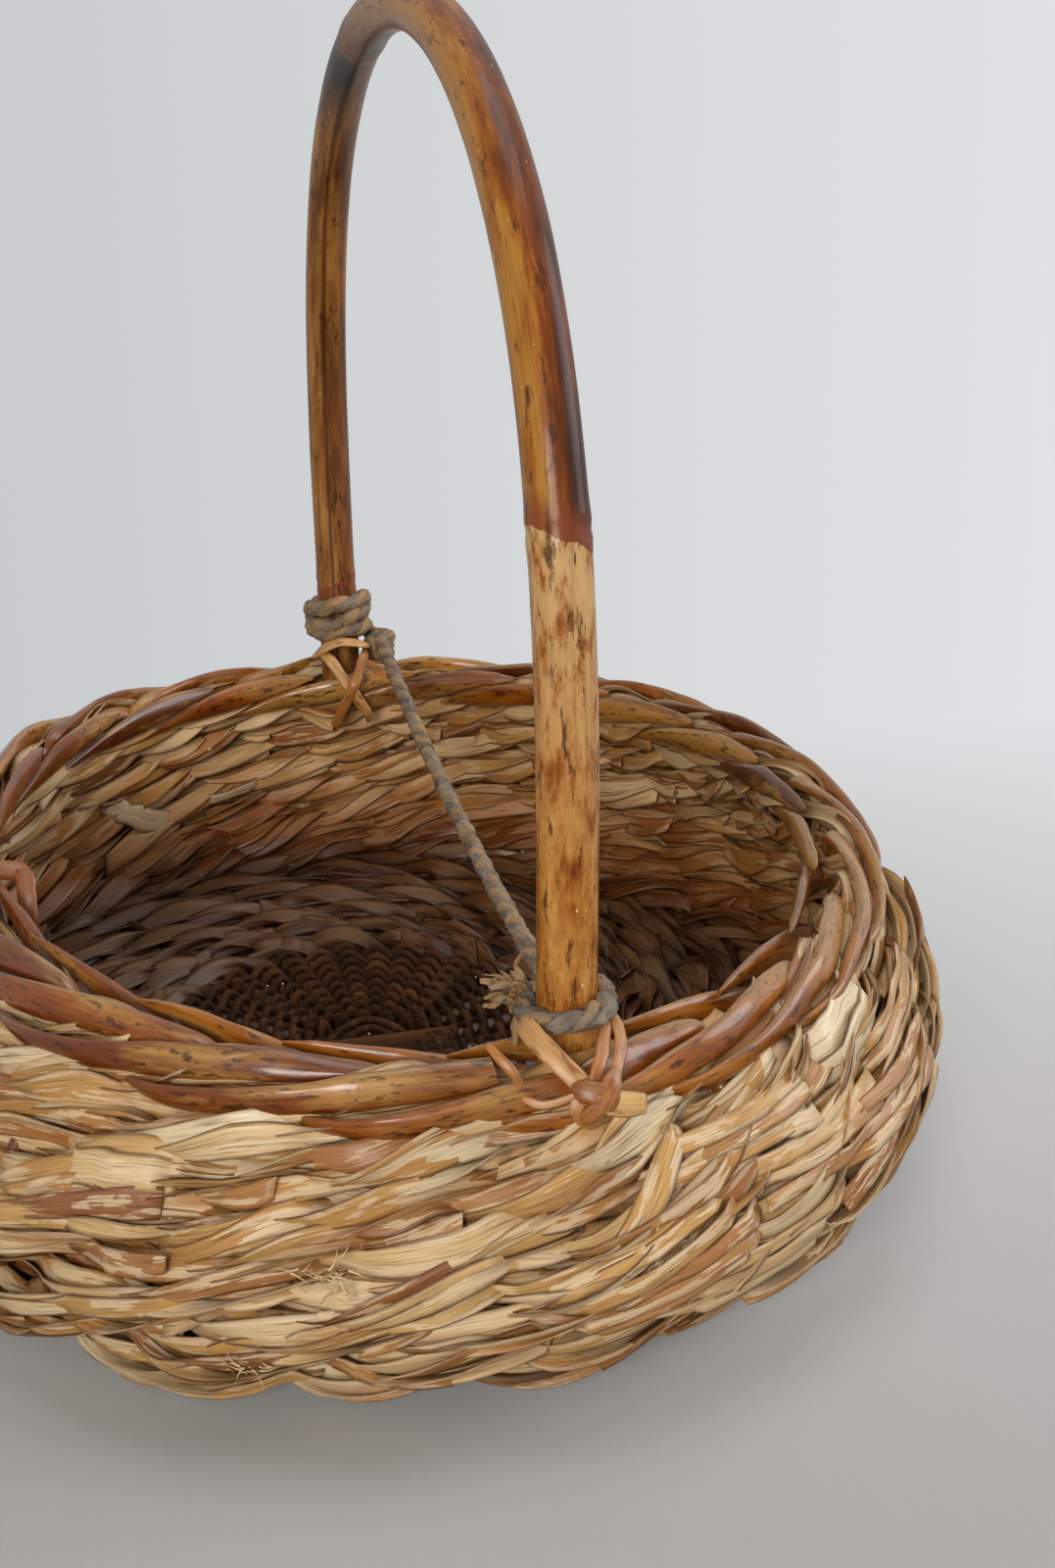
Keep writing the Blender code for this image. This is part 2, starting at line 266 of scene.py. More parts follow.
def newTree(name, lengths, counts=()):
    # Every tree takes a geometry, its own named sizes and counts, and a material
    tree = bpy.data.node_groups.new(name, "GeometryNodeTree")
    kinds = {"Geometry": "Geometry", **dict.fromkeys(lengths, "Float"), **dict.fromkeys(counts, "Int"),
             "Material": "Material"}
    for label, kind in kinds.items():
        tree.interface.new_socket(label, in_out="INPUT", socket_type="NodeSocket" + kind)
    tree.interface.new_socket("Geometry", in_out="OUTPUT", socket_type="NodeSocketGeometry")
    return tree, partial(addNode, tree), tree.nodes.new("NodeGroupInput").outputs


def closeTree(tree, given, geometry):
    real = addNode(tree, "RealizeInstances", geometry)
    dressed = addNode(tree, "SetMaterial", real, None, given["Material"])
    tree.links.new(dressed, tree.nodes.new("NodeGroupOutput").inputs["Geometry"])
    return tree


def caneTree():
    # A cane, cord or flat strip carried along its path, pressed flat along its own way
    tree, add, given = newTree("caneAlongPath", ("Bark Depth", "Bark Length", "Seed"), ("Sides",))
    reach, flat, along, tone = (
        add("InputNamedAttribute", name) for name in ("reach", "flat", "along", "tone"))
    middle, way, ring = (
        add("InputNamedAttribute", name, **vectors) for name in ("middle", "way", "ring"))
    place = add("InputPosition")
    path = add("MeshToCurve", given["Geometry"])
    path = add("StoreNamedAttribute", path, None, "middle", place, **vectors)
    profile = add("CurvePrimitiveCircle", given["Sides"], 1.0)
    profile = add("StoreNamedAttribute", profile, None, "ring", place, **vectors)
    swept = add("CurveToMesh", path, profile, named={"Scale": reach, "Fill Caps": True})
    away = add("VectorMath", place, middle, **minus)
    press = add("Math", add("VectorMath", away, way, **dotted), flat, **times)
    pressed = add("VectorMath", way, add("Math", press, -1.0, **times), **scaled)
    long = add("Math", along, given["Bark Length"], **over)
    long = add("Math", long, add("Math", tone, 37.0, **times), **plus)
    lay = add("CombineXYZ", None, None, add("Math", long, given["Seed"], **plus))
    lay = add("VectorMath", add("VectorMath", ring, 2.0, **scaled), lay, **plus)
    bark = add("Math", add("TexNoise", lay, 1.0, 3.0), 0.5, **minus)
    swell = add("Math", bark, given["Bark Depth"], **times)
    grown = add("VectorMath", add("InputNormal"), swell, **scaled)
    shift = add("VectorMath", pressed, grown, **plus)
    moved = add("SetPosition", swept, None, None, shift)
    return closeTree(tree, given, add("SetShadeSmooth", moved))


def leafTree():
    # Lengthwise creases in flat strips of leaf
    tree, add, given = newTree("leafCreases", ("Crease Depth", "Crease Width", "Crease Length", "Seed"))
    across, along, tone = (
        add("InputNamedAttribute", name) for name in ("across", "along", "tone"))
    wide = add("Math", across, given["Crease Width"], **over)
    long = add("Math", along, given["Crease Length"], **over)
    own = add("Math", add("Math", tone, 91.0, **times), given["Seed"], **plus)
    crease = add("TexNoise", add("CombineXYZ", wide, long, own), 1.0, 2.0)
    deep = add("Math", crease, 0.5, **minus)
    deep = add("Math", deep, given["Crease Depth"], **times)
    shift = add("VectorMath", add("InputNormal"), deep, **scaled)
    moved = add("SetPosition", given["Geometry"], None, None, shift)
    return closeTree(tree, given, add("SetShadeSmooth", moved))


def fibreTree():
    # Bent, pointed fibres on points, each aimed along its own way
    tree, add, given = newTree("fibreTufts", ("Thickness", "Bend"), ("Seed",))
    way = add("InputNamedAttribute", "way", **vectors)
    tip = add("CombineXYZ", given["Bend"], None, 1.0)
    stalk = add("CurveQuadraticBezier", 6, (0, 0, 0), (0, 0, 0.5), tip)
    share = add("SplineParameter", output="Factor")
    thin = add("Math", add("Math", 1.1, share, **minus), given["Thickness"], **times)
    fibre = add("CurveToMesh", stalk, add("CurvePrimitiveCircle", 4, 1.0),
                named={"Scale": thin, "Fill Caps": True})
    spin = add("RandomValue", 0.0, tau, None, given["Seed"], data_type="FLOAT")
    aim = add("AlignRotationToVector", named={"Vector": way}, axis="Z")
    turned = add("RotateRotation", aim, add("AxisAngleToRotation", (0, 0, 1), spin),
                 rotation_space="LOCAL")
    placed = add("InstanceOnPoints", given["Geometry"], named={
        "Instance": fibre, "Rotation": turned, "Scale": add("InputNamedAttribute", "reach")})
    return closeTree(tree, given, placed)


def weaverTree():
    # Rows of thin cane that go over one spoke and under the next, round an oval
    tree, add, given = newTree("baseRows", (
        "First Share", "Share Step", "Half Length", "Half Width", "Spokes", "Level", "Wave", "Reach",
        "Unevenness", "Set Back Turn", "Middle"), ("Rows",))
    line = add("MeshLine", named={"Count": given["Rows"], "Offset": (0, 0, 0)})
    line = add("StoreNamedAttribute", line, None, "row", add("InputIndex"))
    placed = add("InstanceOnPoints", line, named={
        "Instance": add("CurvePrimitiveCircle", 240, 1.0)})
    rings = add("RealizeInstances", placed)
    row = add("InputNamedAttribute", "row")
    turn = add("Math", add("SplineParameter", output="Factor"), tau, **times)
    cosine, sine = (add("Math", turn, operation=operation) for operation in ("COSINE", "SINE"))
    angle = add("Math", turn, add("Math", cosine, given["Set Back Turn"], **times), **plus)
    spot = add("CombineXYZ", add("Math", cosine, 3.0, **times),
               add("Math", sine, 3.0, **times), add("Math", row, 0.35, **times))
    wobble = add("TexNoise", spot, 2.0, 1.0)
    uneven = add("Math", wobble, 0.5, **minus)
    uneven = add("Math", uneven, given["Unevenness"], **times)
    share = add("Math", row, given["Share Step"], **times)
    share = add("Math", given["First Share"], share, **plus)
    share = add("Math", share, uneven, **plus)
    beat = add("Math", turn, add("Math", given["Spokes"], 2.0, **over), **times)
    beat = add("Math", beat, add("Math", row, math.pi, **times), **plus)
    wave = add("Math", add("Math", beat, operation="COSINE"), given["Wave"], **times)
    sides = []
    for size, operation in (("Half Length", "COSINE"), ("Half Width", "SINE")):
        half = add("Math", share, given[size], **times)
        sides.append(add("Math", half, add("Math", angle, operation=operation), **times))
    spot = add("CombineXYZ", sides[0], add("Math", sides[1], given["Middle"], **plus),
               add("Math", given["Level"], wave, **plus))
    laid = add("SetPosition", rings, None, spot)
    length = add("SplineParameter", output="Length")
    laid = add("StoreNamedAttribute", laid, None, "along", length)
    laid = add("StoreNamedAttribute", laid, None, "tone", wobble)
    ring = add("VectorMath", add("InputPosition"), 500.0, **scaled)
    profile = add("CurvePrimitiveCircle", 7, given["Reach"])
    profile = add("StoreNamedAttribute", profile, None, "ring", ring, **vectors)
    swept = add("CurveToMesh", laid, profile)
    return closeTree(tree, given, add("SetShadeSmooth", swept))


def runTree(item, tree, settings, thickness=0.0):
    # Sets the tree's inputs by identifier, adds thickness if asked, and keeps the plain result
    modifier = item.modifiers.new(tree.name, "NODES")
    modifier.node_group = tree
    for socket in tree.interface.items_tree:
        if socket.in_out == "INPUT" and socket.name in settings:
            modifier[socket.identifier] = settings[socket.name]
    if thickness:
        shell = item.modifiers.new("thickness", "SOLIDIFY")
        shell.thickness = thickness
        shell.offset = -1.0
    graph = bpy.context.evaluated_depsgraph_get()
    mesh = bpy.data.meshes.new_from_object(
        item.evaluated_get(graph), preserve_all_data_layers=True, depsgraph=graph)
    mesh.name = item.name
    item.modifiers.clear()
    old = item.data
    item.data = mesh
    bpy.data.meshes.remove(old)
    return item


def settle(item, nodes=()):
    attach(item, "root")
    if nodes:
        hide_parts(*nodes)
    return item


# Camera at the photograph's angle

camera = {
    "place": (0.7129, -0.1181, 0.3650),
    "turn": 1.3336,
    "pitch": 0.3358,
    "roll": -0.0187,
    "lens": 50.08,
    "sensor": 36.0,
}


def makeCamera():
    data = bpy.data.cameras.new("photoCamera")
    data.sensor_fit = "VERTICAL"
    data.sensor_height = camera["sensor"]
    data.lens = camera["lens"]
    item = linkObject("photoCamera", data)
    turn, pitch, roll = camera["turn"], camera["pitch"], camera["roll"]
    ahead = Vector((-math.sin(turn) * math.cos(pitch), math.cos(turn) * math.cos(pitch), -math.sin(pitch)))
    level = Vector((math.cos(turn), math.sin(turn), 0))
    upright = level.cross(ahead)
    right = math.cos(roll) * level + math.sin(roll) * upright
    up = math.cos(roll) * upright - math.sin(roll) * level
    turned = Matrix((right, up, -ahead)).transposed().to_4x4()
    item.matrix_world = Matrix.Translation(camera["place"]) @ turned
    bpy.context.scene.camera = item
    return item


makeCamera()


# Materials

def newMaterial(name):
    material = bpy.data.materials.new(name)
    material.use_nodes = True
    return material, partial(addNode, material.node_tree)


def finishMaterial(material, color, roughness, relief, strength, depth,
                   coat=0.0, coatRoughness=0.2, gloss=0.5):
    tree = material.node_tree
    bump = addNode(tree, "Bump", named={"Strength": strength, "Distance": depth, "Height": relief})
    setInputs(tree, tree.nodes["Principled BSDF"], {
        "Base Color": color, "Roughness": roughness, "Normal": bump, "Coat Weight": coat,
        "Coat Roughness": coatRoughness, "IOR": 1.5, "Specular IOR Level": gloss})
    return material


def leafGrain(add, wide, long, detail=4.0, roughness=0.55):
    # Noise on a strip of leaf: wide and long are the pattern's real sizes in metres
    across, along, tone = (
        add("Attribute", output="Fac", attribute_name=name) for name in ("across", "along", "tone"))
    place = add("CombineXYZ", add("Math", across, wide, **over),
                add("Math", along, long, **over), add("Math", tone, 61.0, **times))
    return add("TexNoise", place, 1.0, detail, roughness)


def caneGrain(add, wide, long, detail=4.0, roughness=0.55):
    # Noise without a seam round a cane: wide is its scale across the ring, long its real length in metres
    ring = add("Attribute", output="Vector", attribute_name="ring")
    along, tone = (add("Attribute", output="Fac", attribute_name=name) for name in ("along", "tone"))
    lengthwise = add("Math", add("Math", along, long, **over),
                     add("Math", tone, 53.0, **times), **plus)
    place = add("VectorMath", add("VectorMath", ring, wide, **scaled),
                add("CombineXYZ", None, None, lengthwise), **plus)
    return add("TexNoise", place, 1.0, detail, roughness)


def tinted(add, color, mask, stops, tint):
    # The tint lies over the colour where the mask's ramp is high
    return add("Mix", add("ValToRGB", mask, stops=stops), color, tint, **blend)


def shaded(add, color, mask, stops):
    return add("Mix", 1.0, color, add("ValToRGB", mask, stops=stops), **darken)


def leafStraw():
    # Dried leaf straw, split and twisted: satin gold skin, matt cream where the skin has peeled
    material, add = newMaterial("driedLeafStraw")
    tone, inside, edge = (
        add("Attribute", output="Fac", attribute_name=name) for name in ("tone", "inner", "edge"))
    color = add("ValToRGB", tone, stops=[
        (0.0, "#98643E"), (0.10, "#AA7444"), (0.36, "#BE8E50"), (0.60, "#CEA468"), (0.80, "#DCBE8E"),
        (1.0, "#E8D4AE")])
    fibre = leafGrain(add, 0.00045, 0.016, 3.0)
    lines = add("ValToRGB", fibre, stops=[(0.27, 0.30), (0.43, 0.84), (0.60, 1.0), (0.80, 1.15)])
    color = add("Mix", 1.0, color, lines, **darken)
    peel = leafGrain(add, 0.0036, 0.022, 5.0, 0.6)
    peel = add("Math", peel, add("Math", fibre, 0.22, **times), **plus)
    peeled = add("ValToRGB", peel, stops=[(0.625, 0.0), (0.65, 1.0)])
    cream = add("Mix", 1.0, "#E1C8A2", lines, **darken)
    color = add("Mix", add("Math", peeled, 0.75, **times), color, cream, **blend)
    color = tinted(add, color, leafGrain(add, 0.0011, 0.05, 5.0, 0.6), [(0.30, 0.8), (0.36, 0.0)], "#5A3519")
    stain = leafGrain(add, 0.009, 0.05, 3.0)
    color = tinted(add, color, stain, [(0.55, 0.0), (0.72, 0.45)], "#96583C")
    # Painted shade along each strip's edges, where the strips lie under and beside one another; a noise mask
    # breaks it up
    edges = add("ValToRGB", add("Math", edge, operation="ABSOLUTE"), stops=[(0.78, 0.0), (1.0, 0.92)])
    edgeShadeBreakup = add("ValToRGB", stain, stops=[(0.38, 1.0), (0.58, 0.35)])
    color = add("Mix", add("Math", edgeShadeBreakup, edges, **times), color, "#54290F", **blend)
    # Inside the basket: a browner tint, and painted shade that deepens towards the base
    level = add("SeparateXYZ", add("TexCoord", output="Object"), output="Z")
    deep = shaded(add, color, add("Math", level, 10.0, **times), [
        (0.08, "#4E341C"), (0.28, "#C69870"), (0.55, "#FFEEDA")])
    color = add("Mix", add("Math", inside, 0.95, **times), color, deep, **blend)
    rough = add("Math", add("Math", peeled, 0.25, **times), 0.36, **plus)
    relief = add("Math", fibre, add("Math", peeled, 0.25, **times), **plus)
    return finishMaterial(material, color, rough, relief, 0.5, 0.0004, gloss=0.4)


def borderCane():
    # Thin whole cane with its glossy skin on: warm brown, flecked, dusty and with a painted pale sheen where
    # it faces up
    material, add = newMaterial("skinOnCane")
    color = add("ValToRGB", add("Attribute", output="Fac", attribute_name="tone"), stops=[
        (0.0, "#54260A"), (0.35, "#86420C"), (0.65, "#A05A12"), (1.0, "#B07628")])
    broad = caneGrain(add, 0.5, 0.045)
    color = tinted(add, color, broad, [(0.48, 0.0), (0.62, 0.75)], "#B98A48")
    color = tinted(add, color, broad, [(0.34, 0.8), (0.46, 0.0)], "#6C300A")
    streak = caneGrain(add, 5.0, 0.02)
    color = shaded(add, color, streak, [(0.30, 0.68), (0.55, 1.0), (0.75, 1.1)])
    fleck = caneGrain(add, 2.4, 0.006, 4.0, 0.65)
    color = tinted(add, color, fleck, [(0.55, 0.0), (0.63, 0.85)], "#341606")
    # Dust together with a painted sheen of sky light on faces that point up, more of both towards +Y
    facing = add("SeparateXYZ", add("NewGeometry", output="Normal"), output="Z")
    place = add("TexCoord", output="Object")
    facing = add("ValToRGB", facing, stops=[(0.45, 0.0), (1.0, 0.75)])
    patches = add("ValToRGB", add("TexNoise", place, 60.0, 4.0, 0.55), stops=[(0.35, 0.35), (0.6, 1.0)])
    back = add("MapRange", add("SeparateXYZ", place, output="Y"), 0.0, 0.10, 0.35, 1.0)
    dustAndSheen = add("Math", add("Math", facing, patches, **times), back, **times)
    color = add("Mix", dustAndSheen, color, "#80664A", **blend)
    # Painted shade: the cane darkens towards the base
    level = add("Math", add("SeparateXYZ", place, output="Z"), 10.0, **times)
    color = shaded(add, color, level, [(0.15, 0.22), (0.6, 1.0)])
    rough = add("Math", add("Math", dustAndSheen, 0.4, **times), 0.30, **plus)
    relief = add("Math", streak, fleck, **plus)
    return finishMaterial(
        material, color, rough, relief, 0.35, 0.0005, coat=0.4, coatRoughness=0.12, gloss=0.3)


def baseCane():
    # Darker, duller cane of the base
    material, add = newMaterial("darkBaseCane")
    color = add("ValToRGB", add("Attribute", output="Fac", attribute_name="tone"), stops=[
        (0.25, "#241307"), (0.5, "#42260F"), (0.75, "#6A4020")])
    streak = caneGrain(add, 2.0, 0.02)
    color = shaded(add, color, streak, [(0.3, 0.55), (0.6, 1.0)])
    return finishMaterial(material, color, 0.8, streak, 0.3, 0.0003, gloss=0.2)


handleColors = {
    "jointShares": (0.139, 0.598, 0.975),  # where the cane's joints lie, as shares of the arch's sweep
    "slant": 0.004,
}


def handleCane(jointPlaces):
    # Thick varnished cane: golden and mottled below the near joint, red-brown and streaked above, with
    # painted shade on the +Y side
    material, add = newMaterial("varnishedCane")
    first, second, _ = jointPlaces
    skew = add("SeparateXYZ", add("Attribute", output="Vector", attribute_name="ring"), output="X")
    slanted = add("Math", add("Attribute", output="Fac", attribute_name="along"),
                  add("Math", skew, handleColors["slant"], **times), **plus)
    wobble = add("Math", caneGrain(add, 1.5, 0.01, 3.0), 0.004, **times)
    slanted = add("Math", slanted, wobble, **plus)
    near = add("Math", slanted, first, operation="GREATER_THAN")
    far = add("Math", slanted, second, operation="GREATER_THAN")
    side = add("SeparateXYZ", add("NewGeometry", output="Normal"), output="Y")
    streak = caneGrain(add, 1.2, 0.05, 5.0, 0.64)
    fine = caneGrain(add, 9.0, 0.03)
    mottle = caneGrain(add, 1.7, 0.014, 5.0, 0.68)
    # Painted shade: both ramps run darker on the +Y side, the arch above the near joint more than the far arm
    streakAndSideShade = add("Math", streak, add("Math", side, 0.19, **times), **plus)
    turned = add("Math", streak, add("Math", side, 0.06, **times), **minus)
    pale = add("ValToRGB", mottle, stops=[
        (0.30, "#6A3410"), (0.40, "#93551C"), (0.50, "#AD7030"), (0.62, "#BC8842"), (0.8, "#C9A468")])
    dark = add("ValToRGB", streakAndSideShade, stops=[
        (0.32, "#A87430"), (0.42, "#915418"), (0.51, "#743A0E"), (0.60, "#54260A"), (0.72, "#341608")])
    deep = add("ValToRGB", turned, stops=[
        (0.30, "#4C2C14"), (0.44, "#74441C"), (0.56, "#98642E"), (0.70, "#B07E42")])
    # A dark line along the far arm, and the fresh skin below the near joint
    line = add("Math", add("Math", side, 0.28, **plus), operation="ABSOLUTE")
    deep = add("Mix", add("MapRange", line, 0.03, 0.16, 0.75, 0.0), deep, "#3A1A0B", **blend)
    fresh = add("MapRange", slanted, first - 0.09, first, 0.0, 0.5)
    bare = add("ValToRGB", mottle, stops=[(0.40, 0.0), (0.50, 1.0)])
    color = add("Mix", add("Math", fresh, bare, **times), pale, "#D2B888", **blend)
    color = add("Mix", near, color, dark, **blend)
    crown = add("MapRange", slanted, second - 0.08, second - 0.01, 0.0, 0.7)
    color = add("Mix", crown, color, "#664A30", **blend)
    color = add("Mix", far, color, deep, **blend)
    # The stain past the joint on the crown
    stained = add("Math", add("MapRange", slanted, second + 0.075, second + 0.03, 0.0, 1.0), far,
                  **times)
    patch = add("Math", streak, add("Math", side, 0.3, **times), **minus)
    patch = add("ValToRGB", patch, stops=[(0.46, 0.0), (0.60, 0.95)])
    color = add("Mix", add("Math", stained, patch, **times), color, "#1E150E", **blend)
    color = shaded(add, color, fine, [(0.28, 0.75), (0.5, 1.0), (0.75, 1.06)])
    for place in jointPlaces:
        past = add("MapRange", add("Math", slanted, place, **minus), -0.002, 0.018)
        color = tinted(add, color, past, [(0.08, 0.0), (0.11, 0.85), (0.32, 0.7), (0.60, 0.0)], "#7C3E24")
    color = tinted(add, color, caneGrain(add, 3.6, 0.010, 4.0, 0.65), [(0.56, 0.0), (0.66, 0.85)], "#43200B")
    color = tinted(add, color, caneGrain(add, 7.0, 0.002, 1.0), [(0.785, 0.0), (0.80, 0.9)], "#E6DED2")
    relief = add("Math", fine, add("Math", streak, 0.6, **times), **plus)
    return finishMaterial(
        material, color, 0.42, relief, 0.2, 0.0005, coat=0.13, coatRoughness=0.09, gloss=0.12)


def splitCane():
    # Flat outer cane of the lashings: golden, satin, with fine lengthwise fibres
    material, add = newMaterial("splitCane")
    color = add("ValToRGB", add("Attribute", output="Fac", attribute_name="tone"), stops=[
        (0.0, "#7E4118"), (0.5, "#AE7230"), (1.0, "#CFA468")])
    streak = caneGrain(add, 5.0, 0.015)
    color = shaded(add, color, streak, [(0.3, 0.6), (0.55, 1.0), (0.8, 1.15)])
    color = tinted(add, color, caneGrain(add, 1.2, 0.008), [(0.52, 0.0), (0.64, 0.8)], "#7A3A14")
    return finishMaterial(material, color, 0.42, streak, 0.3, 0.0003, coat=0.2, coatRoughness=0.3)


def twistedPaper():
    # Twisted paper cord, grey-brown and crumpled
    material, add = newMaterial("twistedPaper")
    broad = add("TexNoise", add("TexCoord", output="Object"), 110.0, 4.0, 0.55)
    color = add("ValToRGB", broad, stops=[
        (0.30, "#382E26"), (0.44, "#5E544A"), (0.56, "#7A7268"), (0.68, "#957849")])
    fine = caneGrain(add, 3.0, 0.006, 5.0)
    patch = add("ValToRGB", caneGrain(add, 0.8, 0.018, 3.0), stops=[(0.36, 0.25), (0.60, 1.0)])
    tan = add("Math", add("Attribute", output="Fac", attribute_name="tone"), patch, **times)
    color = add("Mix", tan, color, "#AC8450", **blend)
    color = shaded(add, color, fine, [(0.3, 0.5), (0.5, 1.0), (0.75, 1.25)])
    return finishMaterial(material, color, 0.8, fine, 0.5, 0.0006)


trees = {"cane": caneTree(), "leaf": leafTree(), "fibre": fibreTree(), "weaver": weaverTree()}
straw = leafStraw()
border = borderCane()
based = baseCane()
split = splitCane()
paper = twistedPaper()
print("materials and trees made")


# The cord comes first: a free stretch, and a winding round each foot of the handle

handle = {
    "rise": 0.274,
    "spreadShare": 0.2293,
    "crownShare": 0.7221,
    "samples": 420,
    "slowing": 0.13,  # closer samples near the feet
    "footHeight": 0.052,
    "footSamples": 14,
    "step": 0.0022,
    "rounds": 12,
    "wallMargin": 0.004,
    "unevenness": 0.025,
    "jointRise": 0.0004,
    "jointWidths": (0.006, 0.0013),  # of the swelling at a joint, and of the groove round it
    "bark": {"Sides": 40, "Bark Depth": 0.0005, "Bark Length": 0.05, "Seed": 1.0},
}

cord = {
    "reach": 0.0024,
    "pitch": 0.0056,
    "sag": 0.007,
    "gap": 0.0003,
    "clearance": 0.0008,
    "samples": 24,
    "turnSamples": 32,
    "spread": 0.005,
    "spreadShare": 0.25,
    "step": 0.0012,
    "lay": 0.013,  # length of one full twist
    "looseness": 0.25,
    "tone": 0.15,
    "plyReach": 0.0022,
    "plyOut": 0.0012,
    "plyDrift": 0.5,
    "plySwell": 0.22,
    "plyFlat": 0.25,
    "plyTone": 0.45,
    "knotReach": 0.0042,
    "knotWidth": 0.9,
    "knotDrop": (0.4, -1.6),
    "knotTurns": 2.4,
    "knotSamples": 60,
    "knotTone": 0.4,
    "rumple": (0, 0, 0.0022),
    # Side, first angle, turns, height, thickness, looseness and tone of each winding
    "front": (1, math.pi, 1.0, 0.1105, 1.15, 0.6, 0.1),
    "back": (-1, math.pi / 2, 3.0, 0.1165, 1.3, 0.5, 0.3),
    "bark": {"Sides": 10, "Bark Depth": 0.0010, "Bark Length": 0.004, "Seed": 3.0},
    "woundBark": {"Sides": 16, "Bark Depth": 0.0034, "Bark Length": 0.004, "Seed": 3.0},
}

tuft = {
    "start": (0.0, -0.003, -0.0035),  # from the winding's end
    "blades": 24,
    "samples": 16,
    "scatter": 0.0010,
    "spread": 0.35,
    "rise": (0, 0, 0.05),
    "bend": 0.006,
    "curl": 0.0012,
    "curls": (5, 11),
    "length": (0.006, 0.014),
    "reach": (0.0009, 0.0022),
    "tipShare": 0.7,
    "bellyShare": 0.5,
    "tone": (0.6, 1),
    "flat": 0.8,
    "bark": {"Sides": 10, "Bark Depth": 0.0012, "Bark Length": 0.003, "Seed": 6.0},
}


def footPoint(side, height):
    height = min(height, plan["rimHeight"])
    return planPoint(0.0 if side > 0 else math.pi, np.interp(height, outHeight, outBulge), height)


def archPoint(sweep):
    foot = footPoint(1, plan["rimHeight"])
    sweep = np.asarray(sweep, float)
    sine = np.maximum(np.sin(sweep), 0)
    return np.stack([
        foot[0] * np.cos(sweep) * (1 + handle["spreadShare"] * sine),
        np.full(sweep.shape, foot[1]),
        foot[2] + handle["rise"] * sine ** handle["crownShare"],
    ], axis=-1)


def footMiddle(side, height):
    foot = footPoint(side, plan["rimHeight"])
    share = max(0.0, (height - foot[2]) / handle["rise"]) ** (1 / handle["crownShare"])
    sweep = math.asin(min(1.0, share))
    spread = 1 + handle["spreadShare"] * math.sin(sweep)
    return np.array([side * abs(foot[0]) * math.cos(sweep) * spread, foot[1], height])


def windingLine(side, firstAngle, turns, height):
    reach = plan["handleReach"] + cord["reach"] + cord["clearance"]
    points = []
    for step in range(int(turns * cord["turnSamples"]) + 1):
        done = step / cord["turnSamples"]
        angle = firstAngle + tau * done
        spread = cord["spread"] * max(0.0, 1 - done / cord["spreadShare"]) ** 2
        middle = footMiddle(side, height + cord["pitch"] * done)
        points.append(middle + (reach + spread) * np.array([math.cos(angle), math.sin(angle), 0]))
    lead = np.array([-side * 2 * cord["reach"], 0, 0])
    tail = unit(points[-1] - points[-2]) * 2 * cord["reach"]
    return np.array([points[0] + lead, *points, points[-1] + tail])


def plies(line, rng, looseness, tone):
    # Two crumpled plies laid round each other along a line
    line = easeLine(line, cord["step"], 2)
    gone = lengthAlong(line)
    ahead = unit(np.gradient(line, axis=0))
    side = unit(np.cross(ahead, (0.03, 0.05, 1.0)))
    above = np.cross(side, ahead)
    paths = []
    for ply in range(2):
        drift = makeWander(rng, 97)
        swell = makeWander(rng, 61)
        angle = tau * gone / cord["lay"] + math.pi * ply + cord["plyDrift"] * drift(gone * 40)
        out = cord["plyOut"] * (1 + looseness * swell(gone * 60))
        away = side * np.cos(angle)[:, None] + above * np.sin(angle)[:, None]
        paths.append({
            "points": line + away * out[:, None],
            "reach": cord["plyReach"] * (1 + cord["plySwell"] * swell(gone * 90)),
            "flat": cord["plyFlat"], "way": away, "tone": tone + cord["plyTone"] * ply})
    return line, paths


def knotLine(center):
    # A few tight turns round the place where the cord leaves the winding
    angle = np.linspace(0, cord["knotTurns"] * tau, cord["knotSamples"])
    wide = cord["knotWidth"]
    drop = np.linspace(*cord["knotDrop"], cord["knotSamples"])
    return center + cord["knotReach"] * np.stack([wide * np.cos(angle), wide * np.sin(angle), drop], axis=1)


def makeTuft(winding):
    rng = np.random.default_rng(51)
    start = winding[-1] + np.array(tuft["start"])
    ahead = unit(winding[-1] - winding[-2])
    share = np.linspace(0, 1, tuft["samples"])[:, None]
    paths = []
    for _ in range(tuft["blades"]):
        aim = unit(ahead + rng.normal(0, tuft["spread"], 3) + np.array(tuft["rise"]))
        curl = unit(np.cross(aim, rng.normal(0, 1, 3)))
        bend = tuft["bend"] * rng.uniform(-1, 1) * share ** 2
        bend = bend + tuft["curl"] * np.sin(share * rng.uniform(*tuft["curls"]))
        line = start + rng.normal(0, tuft["scatter"], 3) + aim * rng.uniform(*tuft["length"]) * share
        belly = tuft["bellyShare"] * np.sin(math.pi * share[:, 0])
        wide = rng.uniform(*tuft["reach"]) * (tuft["tipShare"] + belly)
        paths.append({"points": line + curl * bend, "reach": wide, "flat": tuft["flat"], "way": curl,
                      "tone": rng.uniform(*tuft["tone"])})
    item = runTree(pathObject("cordTuft", paths), trees["cane"], {**tuft["bark"], "Material": paper})
    print("frayed end made")
    return settle(item, ["cord_tuft"])


